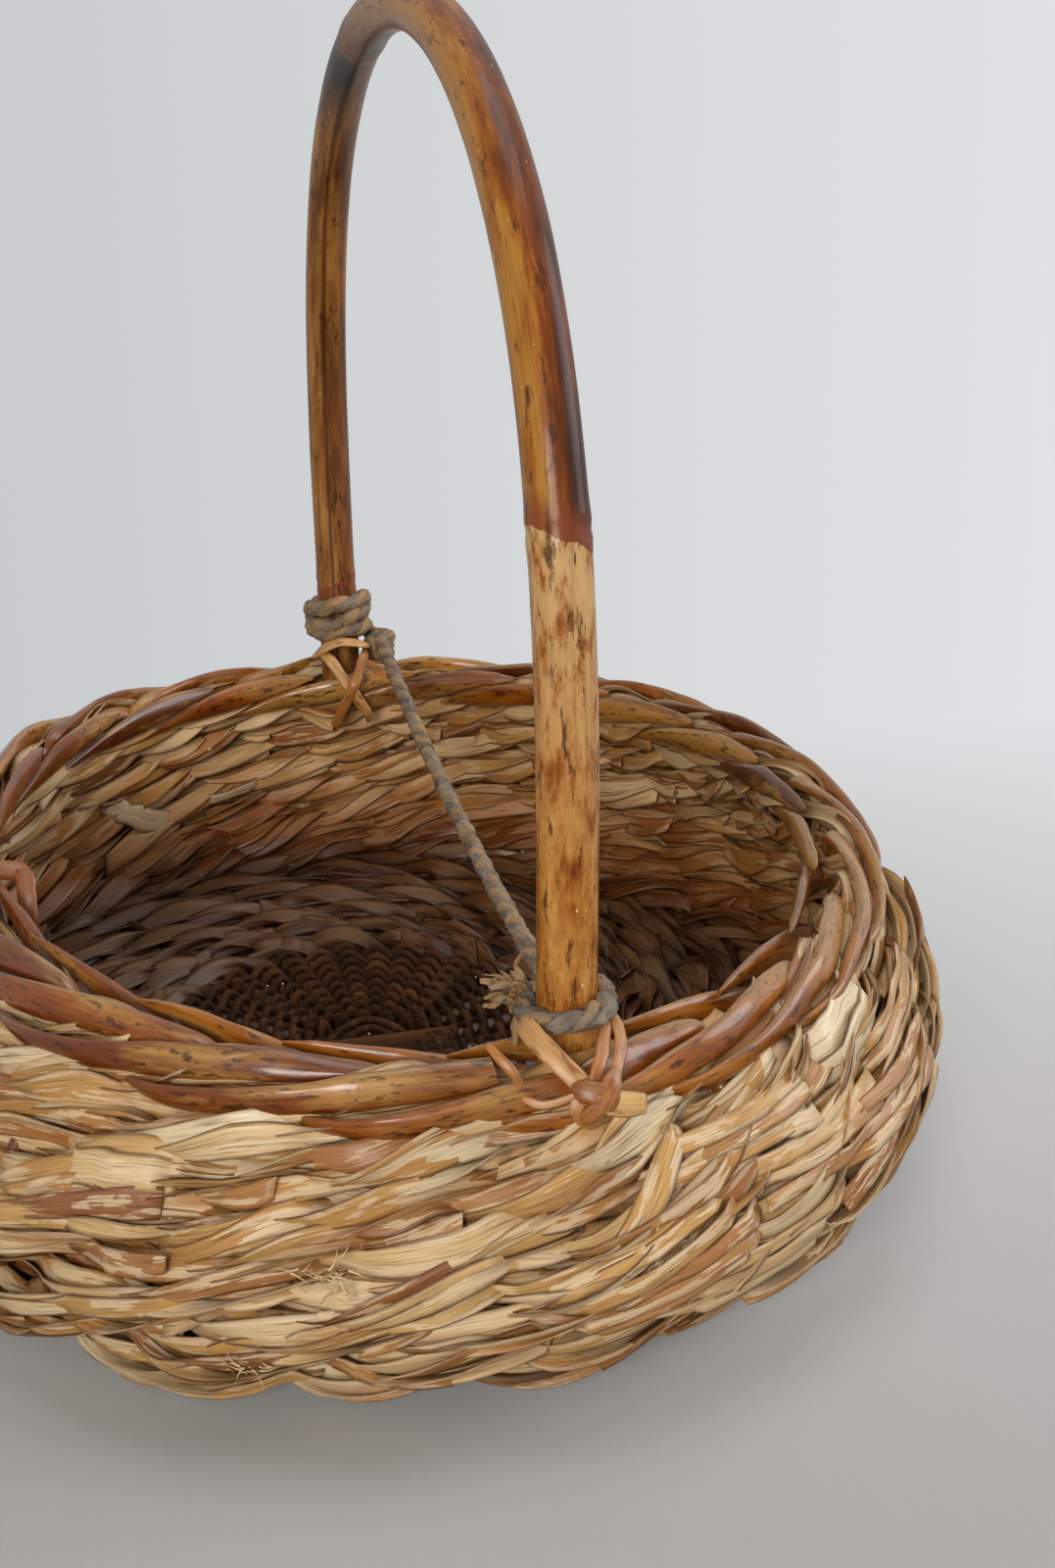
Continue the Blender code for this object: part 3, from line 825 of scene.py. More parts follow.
def makeCord():
    rng = np.random.default_rng(11)
    front, back = (windingLine(*cord[place][:4]) for place in ("front", "back"))
    run = unit(back[0] - front[0])
    start, end = front[0] + run * cord["gap"], back[0] - run * cord["gap"]
    share = np.linspace(0, 1, cord["samples"])[:, None]
    route = end + (start - end) * share
    route[:, 2] -= (cord["sag"] * 4 * share * (1 - share))[:, 0]
    line, paths = plies(route, rng, cord["looseness"], cord["tone"])
    free = runTree(pathObject("tieCord", paths), trees["cane"], {**cord["bark"], "Material": paper})
    for place, winding in (("front", front), ("back", back)):
        thick, looseness, tone = cord[place][4:]
        knotted = place == "back"
        if knotted:
            rumple = makeWander(rng, 23)(np.linspace(0, tau, len(winding)))
            winding = winding + np.array(cord["rumple"]) * rumple[:, None]
        band = plies(winding, rng, looseness, tone)[1]
        if knotted:
            band += plies(knotLine(winding[0]), rng, looseness, cord["knotTone"])[1]
        for ply in band:
            ply["reach"] = ply["reach"] * thick
        item = pathObject(f"cordWinding{place.capitalize()}", band)
        runTree(item, trees["cane"], {**cord["woundBark"], "Material": paper})
        settle(item, [f"cord_winding_{place}"])
    makeTuft(front)
    settle(free, ["tie_cord"])
    length = float(lengthAlong(line)[-1])
    tuple(line[0])
    [tuple(p) for p in line]
    print("cord made, free stretch", round(length, 3), "m")


makeCord()


# Handle: one bent cane, its feet pared where they go down into the wall

def makeHandle():
    rng = np.random.default_rng(5)
    share = np.linspace(0, 1, handle["samples"])
    sweep = math.pi * (share - handle["slowing"] * np.sin(tau * share) / tau * 2)
    heights = np.linspace(handle["footHeight"], plan["rimHeight"], handle["footSamples"])
    near, far = (np.array([footPoint(side, height) for height in heights]) for side in (1, -1))
    line = np.concatenate([near, archPoint(sweep[1:-1]), far[::-1]])
    line = easeLine(line, handle["step"], handle["rounds"])
    gone = lengthAlong(line)
    joints = [float(gone[np.argmin(np.linalg.norm(line - archPoint(math.pi * share), axis=1))])
              for share in handleColors["jointShares"]]
    reach = np.full(len(line), plan["handleReach"])
    inWall = line[:, 2] < plan["borderLevel"] + handle["wallMargin"]
    reach[inWall] = canePoint(line[inWall, 2])
    reach = reach * (1 + handle["unevenness"] * makeWander(rng, 9)(gone * 5))
    for place in joints:
        swelling, groove = (np.exp(-((gone - place) / width) ** 2) for width in handle["jointWidths"])
        reach += handle["jointRise"] * swelling - handle["jointRise"] * groove
    item = pathObject("bentHandle", [{"points": line, "reach": reach, "tone": 0.4}])
    runTree(item, trees["cane"], {**handle["bark"], "Material": handleCane(joints)})
    settle(item, ["handle"])
    print("handle made, joints at", [round(joint, 3) for joint in joints])


makeHandle()


# Stakes: out from the middle of the base, up the wall, and bent down into the border

stakes = {
    "firstLength": 0.0125,
    "lastHeight": 0.077,
    "rounds": 7,
    "shortRounds": 4,
    "pitch": 0.0069,
    "clearance": 0.0008,
    "hubShare": 0.206,
    "leastSlope": 0.6,
    "step": 0.0016,
    "easing": 14,
    "coreRise": 0.45,
    "floatReach": 0.0051,
    # Stake spacings along a border cane, and its size there
    "floatPlaces": (0, 0.3, 0.8, 1.7, 2.3, 2.7, 3.3, 4.0, 4.7),
    "floatSizes": (0, 0.4, 1, 1, 0.3, 0.3, 1.1, 1.0, -0.6),
    "flat": 0.54,
    "flatFrom": 0.3,
    "uneven": 0.09,
    "unevenFrom": 0.4,
    "grain": 0.06,
    "tipSamples": 6,
    "tipShare": 0.5,
    "coverHeight": 0.012,
    "hidden": 0.6,  # a stake's size inside the wall, so that the loose straw covers it
    "bark": {"Sides": 16, "Bark Depth": 0.0006, "Bark Length": 0.02},
}

# A border cane's course: stake spacings along, then border pitches out and up
borderShares = (
    (0.00, 0.00, -0.45), (0.02, 0.00, 0.45), (0.14, 0.08, 0.90), (0.45, 0.45, 1.05),
    (0.74, 0.95, 1.00), (1.00, 1.35, 0.85), (1.25, 1.60, 0.58), (1.50, 1.78, 0.22),
    (1.75, 1.86, -0.14), (2.00, 1.82, -0.42), (2.20, 1.55, -0.60), (2.40, 0.95, -0.80),
    (2.62, -0.20, -1.10), (2.85, -0.85, -1.10), (3.10, -1.10, -0.80), (3.50, -1.30, -0.15),
    (3.90, -1.42, 0.45), (4.30, -1.35, 0.90), (4.70, -0.95, 1.05),
)
lastLength = float(np.interp(stakes["lastHeight"], outHeight, outLength))
roundPitch = (lastLength - stakes["firstLength"]) / (stakes["rounds"] - 1)


def borderPoint(turn, outShare, upShare):
    height = plan["borderLevel"] + upShare * stakes["pitch"]
    out = abs(outShare) * stakes["pitch"]
    length = np.interp(height, outHeight, outLength)
    slope = max(stakes["leastSlope"], float(np.interp(length, outLength, leanUp)))
    room = max(out, (float(canePoint(height)) + plan["stakeReach"] + stakes["clearance"]) / slope)
    out += (room - out) * float(nearHandle(turn)) * min(1.0, abs(outShare))
    bulge = float(np.interp(length, outLength, outBulge))
    return planPoint(turn, bulge + math.copysign(out, outShare), height)


def canePath(rows, turn, number, rng):
    line = easeLine(rows, stakes["step"], stakes["easing"])
    turns, bent = line[:, 3], line[:, 4]
    core = planPoint(turns, 0.0, plan["borderLevel"] + stakes["coreRise"] * stakes["pitch"])
    gone = np.clip((turn - turns) / weaveTurn, 0, stakes["floatPlaces"][-1])
    wide = np.interp(gone, stakes["floatPlaces"], stakes["floatSizes"])
    covered = (bent == 0) & (line[:, 2] > stakes["coverHeight"])
    reach = plan["stakeReach"] * np.where(covered, stakes["hidden"], 1.0)
    reach = reach + (stakes["floatReach"] - plan["stakeReach"]) * wide * bent
    reach = reach * (1 + stakes["grain"] * makeWander(rng, 31)(gone + number))
    reach[-stakes["tipSamples"]:] *= np.linspace(1, stakes["tipShare"], stakes["tipSamples"])
    return {"points": line[:, :3], "reach": reach, "flat": stakes["flat"] * bent,
            "way": unit(line[:, :3] - core), "tone": rng.uniform(0, 1)}


def makeStakes():
    rng = np.random.default_rng(23)
    for number in range(plan["stakes"]):
        turn = number * weaveTurn
        short = number % (plan["stakes"] // 2) == 0
        rows = [(*planPoint(turn, 0, plan["spokeHeight"], stakes["hubShare"]), turn, 0),
                (*planPoint(turn, plan["bendBulge"], plan["spokeHeight"]), turn, 0)]
        for level in range(stakes["shortRounds"] if short else stakes["rounds"]):
            rows.append((*wallPoint(turn, stakes["firstLength"] + level * roundPitch), turn, 0))
        paths = []
        if short:
            # A separate cane starts beside the handle's foot and fills its place in the border
            paths.append(canePath(rows, turn, number, rng))
            rows = []
        for along, out, up in borderShares:
            if short and along < stakes["unevenFrom"]:
                continue
            spot = turn - along * weaveTurn
            shift = stakes["uneven"] * rng.uniform(-1, 1, 2) * (along > stakes["unevenFrom"])
            bent = min(1.0, along / stakes["flatFrom"])
            rows.append((*borderPoint(spot, out + shift[0], up + shift[1]), spot, bent))
        paths.append(canePath(rows, turn, number, rng))
        item = pathObject(f"wallStake{number + 1:02d}", paths)
        runTree(item, trees["cane"], {**stakes["bark"], "Seed": float(number), "Material": border})
        settle(item, [f"stake_{number + 1:02d}"])
    print("stakes and border made")


makeStakes()


# Wall: two strands of twisted leaf straw twine round the stakes in each round

wall = {
    "reach": 0.0068,
    "rise": 0.0036,
    "depth": 0.0038,
    "height": 0.0076,
    # A strand's size from behind a stake to in front of one
    "depths": (0.85, 0.80, 1.0),
    "heights": (0.88, 0.66, 0.50, 0.80, 1.0),
    "blunt": 0.75,  # power of the strand's wave, and how much lower it is at the handle
    "handleBlunt": 0.45,
    "handleAbove": 0.006,
    "wanderKnots": (40, 40, 40, 20),
    "drift": 0.0008,  # how far a strand wanders out and in, and up and down
    "bob": 0.0012,
    "swell": 0.14,
    "late": 0.4,
    "rough": 1.0,  # how much wilder the strands are at the rough turn, on the near right
    "roughTurn": 0.5,
    "roughSpread": 0.45,
    "probe": 0.001,
    "lanes": 5,
    "lap": 1.25,  # how far each strip laps over the next
    "lapRange": (0.8, 1.2),
    "laneJitter": 0.25,
    "stripSpans": (3, 7),  # a strip's length, and the shortest rest, in stake spacings
    "shortest": 1.5,
    "overlap": 0.3,
    "layers": (-0.0005, 0.0007),
    "twist": 3.4,  # stake spacings to one full twist of the strand
    "twistWander": 0.6,
    "stagger": 0.37,  # stake spacings that each round is turned on from the last
    "samples": 300,
    "leastRows": 10,
    "columns": 6,
    "widthWander": 0.28,
    "endRows": 6,
    "endPower": 0.6,
    "endWidth": 0.35,
    "tuckedEnd": 0.0010,
    "chord": 0.85,  # how flat each strip lies: 0 follows the strand's curve, 1 is straight across
    "lift": 0.0019,
    "fold": 0.0007,
    "thickness": 0.0005,
    "innerDepth": 0.005,  # how soon a strip takes the inner wall's browner tint and painted shade
    "strand": 0.0055,
    "floorGap": 0.0011,
    "floorEase": 0.0006,
    "topHeights": (0.0855, 0.0900),
    "topSize": 0.80,
    "topLanes": 4,
    "topStagger": 1.3,
    "crease": {"Crease Depth": 0.0006, "Crease Width": 0.0022, "Crease Length": 0.03},
}

# Short over-strips and cut ends on a strand
strays = {
    "rise": 0.0024,
    "innerShare": 0.35,
    # Place and its scatter and half span in stake spacings, angle and its scatter and arc in radians, layer
    "outer": (0, 0.3, (0.25, 0.75), 0, 0.8, (0.5, 1.1), (0.0012, 0.0020)),
    "inner": (1, 0.2, (0.3, 0.6), math.pi, 0.4, (0.8, 1.3), (0.0012, 0.0018)),
}


def gridFaces(rows, columns, start):
    first = start + (np.arange(rows - 1)[:, None] * columns + np.arange(columns - 1)[None, :]).ravel()
    return np.stack([first, first + 1, first + columns + 1, first + columns], axis=1)


class StripBatch:
    # Gathers grids of strip points into one open mesh
    def __init__(self):
        self.points, self.faces, self.count = [], [], 0
        self.values = {"along": [], "across": [], "tone": [], "inner": [], "edge": []}

    def add(self, grid, **values):
        rows, columns = grid.shape[:2]
        self.points.append(grid.reshape(-1, 3))
        self.faces.append(gridFaces(rows, columns, self.count))
        self.count += rows * columns
        values["edge"] = np.linspace(-1, 1, columns)[None, :]
        for key, value in values.items():
            self.values[key].append(np.broadcast_to(value, (rows, columns)).ravel())

    def build(self, name):
        mesh = bpy.data.meshes.new(name)
        mesh.from_pydata(np.concatenate(self.points).tolist(), [], np.concatenate(self.faces).tolist())
        for key, values in self.values.items():
            storeAttribute(mesh, key, np.concatenate(values))
        return linkObject(name, mesh)


def makeStrand(length, half, shift, scale, rng):
    # Returns a function of the turn: the strand's middle, its two ways and its half sizes
    drift, bob, swell, late = (makeWander(rng, knots) for knots in wall["wanderKnots"])
    height = float(np.interp(length, outLength, outHeight))
    foot = float(canePoint(height + wall["handleAbove"])) + wall["depth"] + stakes["clearance"]

    def read(turn):
        wild = 1 + wall["rough"] * np.exp(-((turn % tau - wall["roughTurn"]) / wall["roughSpread"]) ** 2)
        phase = plan["stakes"] / 2 * (turn - shift * weaveTurn) + math.pi * half + wall["late"] * late(turn)
        wave = np.cos(phase)
        close = nearHandle(turn)
        blunt = wall["blunt"] - wall["handleBlunt"] * close
        out = wall["reach"] + np.maximum(0, foot - wall["reach"]) * close
        out = out * np.sign(wave) * np.abs(wave) ** blunt + wall["drift"] * drift(turn) * wild
        along = wall["rise"] * np.sin(phase) * scale + wall["bob"] * bob(turn) * wild
        middle = wallPoint(turn, length, out, along)
        outward = unit(wallPoint(turn, length, out + wall["probe"], along) - middle)
        upward = unit(wallPoint(turn, length, out, along + wall["probe"]) - middle)
        size = scale * (1 + wall["swell"] * swell(turn) * wild)
        depth = wall["depth"] * size * np.interp(wave, (-1, 0, 1), wall["depths"])
        tall = wall["height"] * size * np.interp(wave, (-1, -0.5, 0, 0.5, 1), wall["heights"])
        return middle, outward, upward, depth, tall, out
    return read


def flatten(rows):
    share = np.linspace(0, 1, rows.shape[1])[None, :]
    straight = rows[:, :1] * (1 - share) + rows[:, -1:] * share
    return rows + (straight - rows) * wall["chord"]


def addStrip(batch, strand, begin, finish, angle, arc, layer, rng, cut=False, samples=wall["samples"]):
    rows = max(wall["leastRows"], int((finish - begin) / tau * samples))
    turn = np.linspace(begin, finish, rows)
    middle, outward, upward, depth, tall, out = strand(turn)
    across = np.linspace(-1, 1, wall["columns"])
    share = np.linspace(0, 1, rows)
    ends = np.minimum(share, 1 - share) * rows * wall["samples"] / samples / wall["endRows"]
    ends = np.clip(ends, 0, 1) ** wall["endPower"]
    rise = wall["tuckedEnd"] * (1 - ends)
    if cut:
        # A short strip with cut ends, one of which stands off the strand
        ends = np.ones(rows)
        rise = strays["rise"] * rng.uniform(0.3, 1) * (share if rng.random() < 0.5 else 1 - share) ** 3
    width = arc / 2 * (1 + wall["widthWander"] * makeWander(rng, 60)(turn))
    width = width * (wall["endWidth"] + (1 - wall["endWidth"]) * ends)
    spin = tau * turn / (wall["twist"] * weaveTurn) + wall["twistWander"] * makeWander(rng, 34, True)(turn)
    theta = (angle + spin)[:, None] + across[None, :] * width[:, None]
    folds = np.stack([makeWander(rng, 45)(turn) for _ in across], axis=1) * wall["fold"]
    lift = layer + wall["lift"] * across[None, :] + folds + rise[:, None]
    x = flatten((depth[:, None] + lift) * np.cos(theta))
    y = flatten((tall[:, None] + lift) * np.sin(theta))
    grid = middle[:, None] + outward[:, None] * x[..., None] + upward[:, None] * y[..., None]
    low, ease = wall["floorGap"], wall["floorEase"]
    grid[..., 2] = low + np.logaddexp(0, (grid[..., 2] - low) / ease) * ease  # rests on the floor
    inner = np.clip(0.5 - (out[:, None] + x) / wall["innerDepth"], 0, 1)
    batch.add(grid, along=lengthAlong(middle)[:, None], tone=rng.uniform(0, 1), inner=inner,
              across=across[None, :] * width[:, None] * wall["strand"])


def addStrand(batch, strand, lanes, rng, samples=wall["samples"]):
    # Strips of leaf laid side by side round a strand; each ends under the next one's start
    overlap = wall["overlap"] * weaveTurn
    for lane in range(lanes):
        angle = tau * lane / lanes + rng.uniform(-wall["laneJitter"], wall["laneJitter"])
        begin = rng.uniform(0, 3) * weaveTurn
        stop = begin + tau
        while begin < stop:
            finish = min(begin + rng.uniform(*wall["stripSpans"]) * weaveTurn, stop)
            if stop - finish < wall["shortest"] * weaveTurn:
                finish = stop
            arc = tau / lanes * wall["lap"] * rng.uniform(*wall["lapRange"])
            addStrip(batch, strand, begin - overlap, finish + overlap, angle, arc,
                     rng.uniform(*wall["layers"]), rng, samples=samples)
            begin = finish


def addStray(batch, strand, center, face, rng):
    ahead, scatter, spans, turned, slant, arcs, layers = strays[face]
    middle = center + (ahead + rng.uniform(-scatter, scatter)) * weaveTurn
    span = rng.uniform(*spans) * weaveTurn
    angle = turned - tau * middle / (wall["twist"] * weaveTurn) + rng.uniform(-slant, slant)
    addStrip(batch, strand, middle - span, middle + span, angle, rng.uniform(*arcs),
             rng.uniform(*layers), rng, cut=True)


def addStrays(batch, strand, level, half, rng):
    # Up to two on the outer face of each float, and now and then one on the inner face
    for bow in range(plan["stakes"] // 2):
        center = (tau * bow - math.pi * half) / (plan["stakes"] / 2) + level * wall["stagger"] * weaveTurn
        for _ in range(rng.integers(0, 3)):
            addStray(batch, strand, center, "outer", rng)
        if rng.random() < strays["innerShare"]:
            addStray(batch, strand, center, "inner", rng)


def makeWall():
    dress = {**wall["crease"], "Material": straw}
    for level in range(stakes["rounds"]):
        rng = np.random.default_rng(100 + level)
        batch = StripBatch()
        length = stakes["firstLength"] + level * roundPitch
        for half in range(2):
            strand = makeStrand(length, half, level * wall["stagger"], 1.0, rng)
            addStrand(batch, strand, wall["lanes"], rng)
            addStrays(batch, strand, level, half, rng)
        item = batch.build(f"strawRound{level + 1}")
        runTree(item, trees["leaf"], {**dress, "Seed": float(level)}, wall["thickness"])
        settle(item, [f"wall_round_{level + 1}_strand_{letter}" for letter in "ab"])
    rng = np.random.default_rng(120)
    batch = StripBatch()
    for count, height in enumerate(wall["topHeights"]):
        length = float(np.interp(height, outHeight, outLength))
        shift = (stakes["rounds"] + wall["topStagger"] * count) * wall["stagger"]
        for half in range(2):
            addStrand(batch, makeStrand(length, half, shift, wall["topSize"], rng), wall["topLanes"], rng)
    item = runTree(batch.build("strawUnderBorder"), trees["leaf"], {**dress, "Seed": 8.0}, wall["thickness"])
    settle(item)
    print("wall made")


makeWall()


# Loose straw over the wall, most of it on the near right flank, and a broken cane end in the border

loose = {
    "out": 0.0106,
    "rise": 0.0018,
    "dip": 0.0055,
    "dipFrom": 0.72,
    "bulk": 0.0012,
    "samples": 28,
    "columns": 5,
    "spacing": 1.75,
    "wander": 0.0009,
    "turnJitter": 0.015,
    "widthWander": 0.18,
    "widthRange": (0.8, 1.2),
    "tilt": 0.35,
    "tiltWander": 0.25,
    "curve": 0.0004,
    "toneJitter": 0.18,
    # How much of the inner wall's browner tint and painted shade the strips inside take
    "insideTintAndShade": 0.5,
    # Turn and length up the wall at both ends, number of strips, half width of each, and tone
    "bundles": (
        (0.00, 0.0500, 0.15, 0.0830, 1, 0.0050, 0.40), (0.50, 0.0790, 0.72, 0.0890, 2, 0.0048, 0.90),
        (0.36, 0.0706, 0.45, 0.0680, 1, 0.0040, 0.85), (-0.07, 0.0427, 0.24, 0.0602, 2, 0.0034, 0.55),
        (0.16, 0.0340, 0.48, 0.0394, 3, 0.0030, 0.60), (0.13, 0.0723, 0.46, 0.0766, 3, 0.0025, 0.25),
        (0.28, 0.0581, 0.65, 0.0613, 3, 0.0028, 0.35), (0.49, 0.0559, 0.92, 0.0600, 3, 0.0030, 0.05),
        (0.62, 0.0680, 1.00, 0.0790, 3, 0.0026, 0.30), (-0.80, 0.0668, -0.62, 0.0720, 1, 0.0048, 0.70),
    ),
    "inside": ((3.75, 0.0600, 3.56, 0.0375, 1, 0.0048, 1.00), (3.50, 0.0480, 3.34, 0.0560, 1, 0.0042, 0.95)),
    # Bundles laid at random: how many more on the near right and how many elsewhere, and their ranges
    "more": 5,
    "elsewhere": 14,
    "nearTurn": (0.45, 0.25),
    "farTurns": (1.2, 5.9),
    "lows": (0.018, 0.070),
    "spans": (0.16, 0.36),
    "climbs": (0.002, 0.018),
    "halves": (0.0020, 0.0034),
    "tones": (0, 0.8),
    "crease": {"Crease Depth": 0.0005, "Crease Width": 0.0018, "Crease Length": 0.03, "Seed": 12.0},
}


def makeLoose():
    rng = np.random.default_rng(81)
    bundles = [(1, *bundle) for bundle in loose["bundles"]] + [(-1, *bundle) for bundle in loose["inside"]]
    for number in range(loose["more"] + loose["elsewhere"]):
        near = number < loose["more"]
        start = rng.normal(*loose["nearTurn"]) if near else rng.uniform(*loose["farTurns"])
        low = rng.uniform(*loose["lows"])
        stop = start + rng.uniform(*loose["spans"])
        high = low + rng.uniform(*loose["climbs"])
        count = int(rng.integers(1, 4 if near else 3))
        bundles.append((1, start, low, stop, high, count, rng.uniform(*loose["halves"]),
                        rng.uniform(*loose["tones"])))
    batch = StripBatch()
    share = np.linspace(0, 1, loose["samples"])
    across = np.linspace(-1, 1, loose["columns"])
    tucked = np.clip(np.abs(share - 0.5) / 0.5 - loose["dipFrom"], 0, 1)
    tucked = loose["dip"] * tucked / (1 - loose["dipFrom"])
    for face, firstTurn, firstLength, lastTurn, lastLength, count, half, tone in bundles:
        for strip in range(count):
            shift = (strip - (count - 1) / 2) * half * loose["spacing"]
            wander = loose["wander"] * makeWander(rng, 9, True)(share * 4)
            spot = firstTurn + (lastTurn - firstTurn) * share
            spot = spot + rng.uniform(-loose["turnJitter"], loose["turnJitter"])
            length = firstLength + (lastLength - firstLength) * share + shift + wander
            out = loose["out"] + loose["rise"] * np.sin(math.pi * share) * rng.uniform(0.3, 1.3)
            out = out + rng.uniform(0, loose["bulk"]) - tucked * (1 if rng.random() < 0.7 else share)
            middle = wallPoint(spot, length, face * out)
            outward = face * unit(wallPoint(spot, length, face * out + wall["probe"]) - middle)
            side = unit(np.cross(unit(np.gradient(middle, axis=0)), outward))
            wide = half * (1 + loose["widthWander"] * makeWander(rng, 7)(share * 4))
            wide = wide * rng.uniform(*loose["widthRange"])
            tilt = rng.uniform(-loose["tilt"], loose["tilt"])
            tilt = tilt + loose["tiltWander"] * makeWander(rng, 7, True)(share * 3)
            reach = across[None, :] * wide[:, None]
            lift = reach * tilt[:, None] - np.abs(across)[None, :] * loose["curve"]
            grid = middle[:, None] + side[:, None] * reach[..., None] + outward[:, None] * lift[..., None]
            shade = tone + rng.uniform(-loose["toneJitter"], loose["toneJitter"])
            batch.add(grid, along=lengthAlong(middle)[:, None], across=reach,
                      tone=float(np.clip(shade, 0, 1)), inner=0.0 if face > 0 else loose["insideTintAndShade"])
    item = batch.build("strawLoose")
    runTree(item, trees["leaf"], {**loose["crease"], "Material": straw}, wall["thickness"])
    settle(item)
    print("loose straw made")


# A cane of the border that has snapped and stands up, bent over at its tip; its course is in millimetres
brokenEnd = {
    "place": (0.046, -0.1228, 0.096),
    "course": ((0, 0, -6), (0, 0.2, 0), (-3, 0.6, 6), (-7, 0.6, 11.5), (-9, -1.0, 13.6), (-9.5, -7, 14.6),
               (-9.5, -13, 15.4)),
    "look": {"reach": 0.0032, "flat": 0.8, "way": (0.96, -0.2, 0.2), "tone": 0.1},
    "bark": {"Sides": 12, "Bark Depth": 0.0010, "Bark Length": 0.008, "Seed": 5.0},
}


def makeBrokenEnd():
    line = easeLine(np.array(brokenEnd["place"]) + np.array(brokenEnd["course"]) / 1000, 0.0008, 1)
    item = pathObject("brokenCaneEnd", [{"points": line, **brokenEnd["look"]}])
    settle(runTree(item, trees["cane"], {**brokenEnd["bark"], "Material": split}))


makeLoose()
makeBrokenEnd()


# Base: rows of thin cane woven over and under the spokes, round a crossed middle

base = {
    "rows": 17,
    "firstShare": 0.18,
    "lastShare": 0.53,
    "bindRows": 4,  # rounds that bind the crossed middle, over two arms of the cross and under two
    "bindShare": 0.105,
    "bindSpokes": 4,
    "reach": 0.0016,
    "wave": 0.0047,
    "unevenness": 0.012,
    "spokes": 40,
    "spokeReach": 0.0019,
    "spokeMargin": 0.03,
    "crossReach": 0.0026,
    "crossPitch": 0.0060,
    "crossCount": 5,
    "caneTones": (0.3, 0.7),
    "bark": {"Sides": 10, "Bark Depth": 0.0004, "Bark Length": 0.02, "Seed": 8.0},
    "strawShares": (0.55, 0.63, 0.71, 0.79, 0.87, 0.95, 1.02),
    "strawDepth": 0.0026,
    "strawWidth": 0.0078,
    "strawWave": 0.0030,
    "strawBow": 0.012,
    "strawDrift": 0.006,
    "strawSwell": 0.12,
    "strawWidths": (1.0, 0.6, 1.0),
    "strawLanes": 4,
    "inward": -0.02,  # deep enough for the inner wall's browner tint and painted shade
    "probe": 0.01,
    "samples": 120,
    "crease": {"Crease Depth": 0.0006, "Crease Width": 0.0016, "Crease Length": 0.03, "Seed": 9.0},
}


def makeBase():
    middle = plan["baseLean"] * (plan["spokeHeight"] - plan["bellyHeight"]) / plan["bellyHeight"]
    wovenStep = (base["lastShare"] - base["firstShare"]) / (base["rows"] - 1)
    boundStep = (base["firstShare"] - base["bindShare"]) / base["bindRows"]
    inner = [f"base_weaver_{number}" for number in range(1, 4)]
    for name, rows, firstShare, step, spokes, nodes in (
            ("baseRows", base["rows"], base["firstShare"], wovenStep, base["spokes"], inner),
            ("baseBinding", base["bindRows"], base["bindShare"], boundStep, base["bindSpokes"], ())):
        item = linkObject(name, bpy.data.meshes.new(name))
        runTree(item, trees["weaver"], {
            "Half Length": plan["halfLength"], "Half Width": plan["halfWidth"], "Level": plan["spokeHeight"],
            "Wave": base["wave"], "Reach": base["reach"], "Unevenness": base["unevenness"],
            "Set Back Turn": handleTurn, "Middle": middle, "Material": based,
            "Rows": rows, "First Share": firstShare, "Share Step": step, "Spokes": float(spokes)})
        settle(item, nodes)
    rng = np.random.default_rng(31)
    paths = []
    for number in range(plan["stakes"]):
        turn = (number + 0.5) * weaveTurn
        share = np.linspace(stakes["hubShare"], base["lastShare"] + base["spokeMargin"], 12)
        paths.append({"points": planPoint(turn, 0, plan["spokeHeight"], share), "reach": base["spokeReach"],
                      "tone": rng.uniform(*base["caneTones"])})
    for layer, (sx, sy) in enumerate(((1, 0), (0, 1))):
        half = stakes["hubShare"] * (plan["halfLength"] if sx else plan["halfWidth"])
        level = plan["spokeHeight"] + (layer - 0.5) * 2 * base["crossReach"]
        for count in range(base["crossCount"]):
            off = (count - (base["crossCount"] - 1) / 2) * base["crossPitch"]
            share = np.linspace(-1, 1, 24)
            line = np.stack([share * half * sx + off * sy, share * half * sy + off * sx + middle,
                             np.full(24, level)], axis=1)
            paths.append({"points": line, "reach": base["crossReach"],
                          "tone": rng.uniform(*base["caneTones"])})
    cross = runTree(pathObject("baseCross", paths), trees["cane"], {**base["bark"], "Material": based})
    settle(cross, ["base_hub"])
    print("base made")


def makeFlatStrand(share, half, shift, rng):
    # A strand that lies in the base, over one spoke and under the next
    drift, swell = makeWander(rng, 40), makeWander(rng, 40)

    def read(turn):
        phase = plan["stakes"] / 2 * (turn - shift * weaveTurn) + math.pi * half
        height = plan["spokeHeight"] + base["strawWave"] * np.cos(phase)
        where = share + (base["strawBow"] * np.sin(phase) + base["strawDrift"] * drift(turn))
        bulge = plan["bendBulge"] * share
        middle = planPoint(turn, bulge, height, where)
        away = unit(planPoint(turn, bulge, height, where + base["probe"]) - middle)
        above = np.broadcast_to((0.0, 0.0, 1.0), middle.shape)
        size = 1 + base["strawSwell"] * swell(turn)
        wide = base["strawWidth"] * size * np.interp(np.cos(phase), (-1, 0, 1), base["strawWidths"])
        return middle, above, away, base["strawDepth"] * size, wide, np.full(turn.shape, base["inward"])
    return read


def makeBaseStraw():
    rng = np.random.default_rng(71)
    batch = StripBatch()
    for number, share in enumerate(base["strawShares"]):
        for half in range(2):
            strand = makeFlatStrand(share, half, number * wall["stagger"], rng)
            addStrand(batch, strand, base["strawLanes"], rng, base["samples"])
    item = batch.build("strawBase")
    runTree(item, trees["leaf"], {**base["crease"], "Material": straw}, wall["thickness"])
    settle(item, [f"base_weaver_{number}" for number in range(4, 10)])
    print("straw of the base made")


makeBase()
makeBaseStraw()


# Lashings of flat cane at the handle's feet

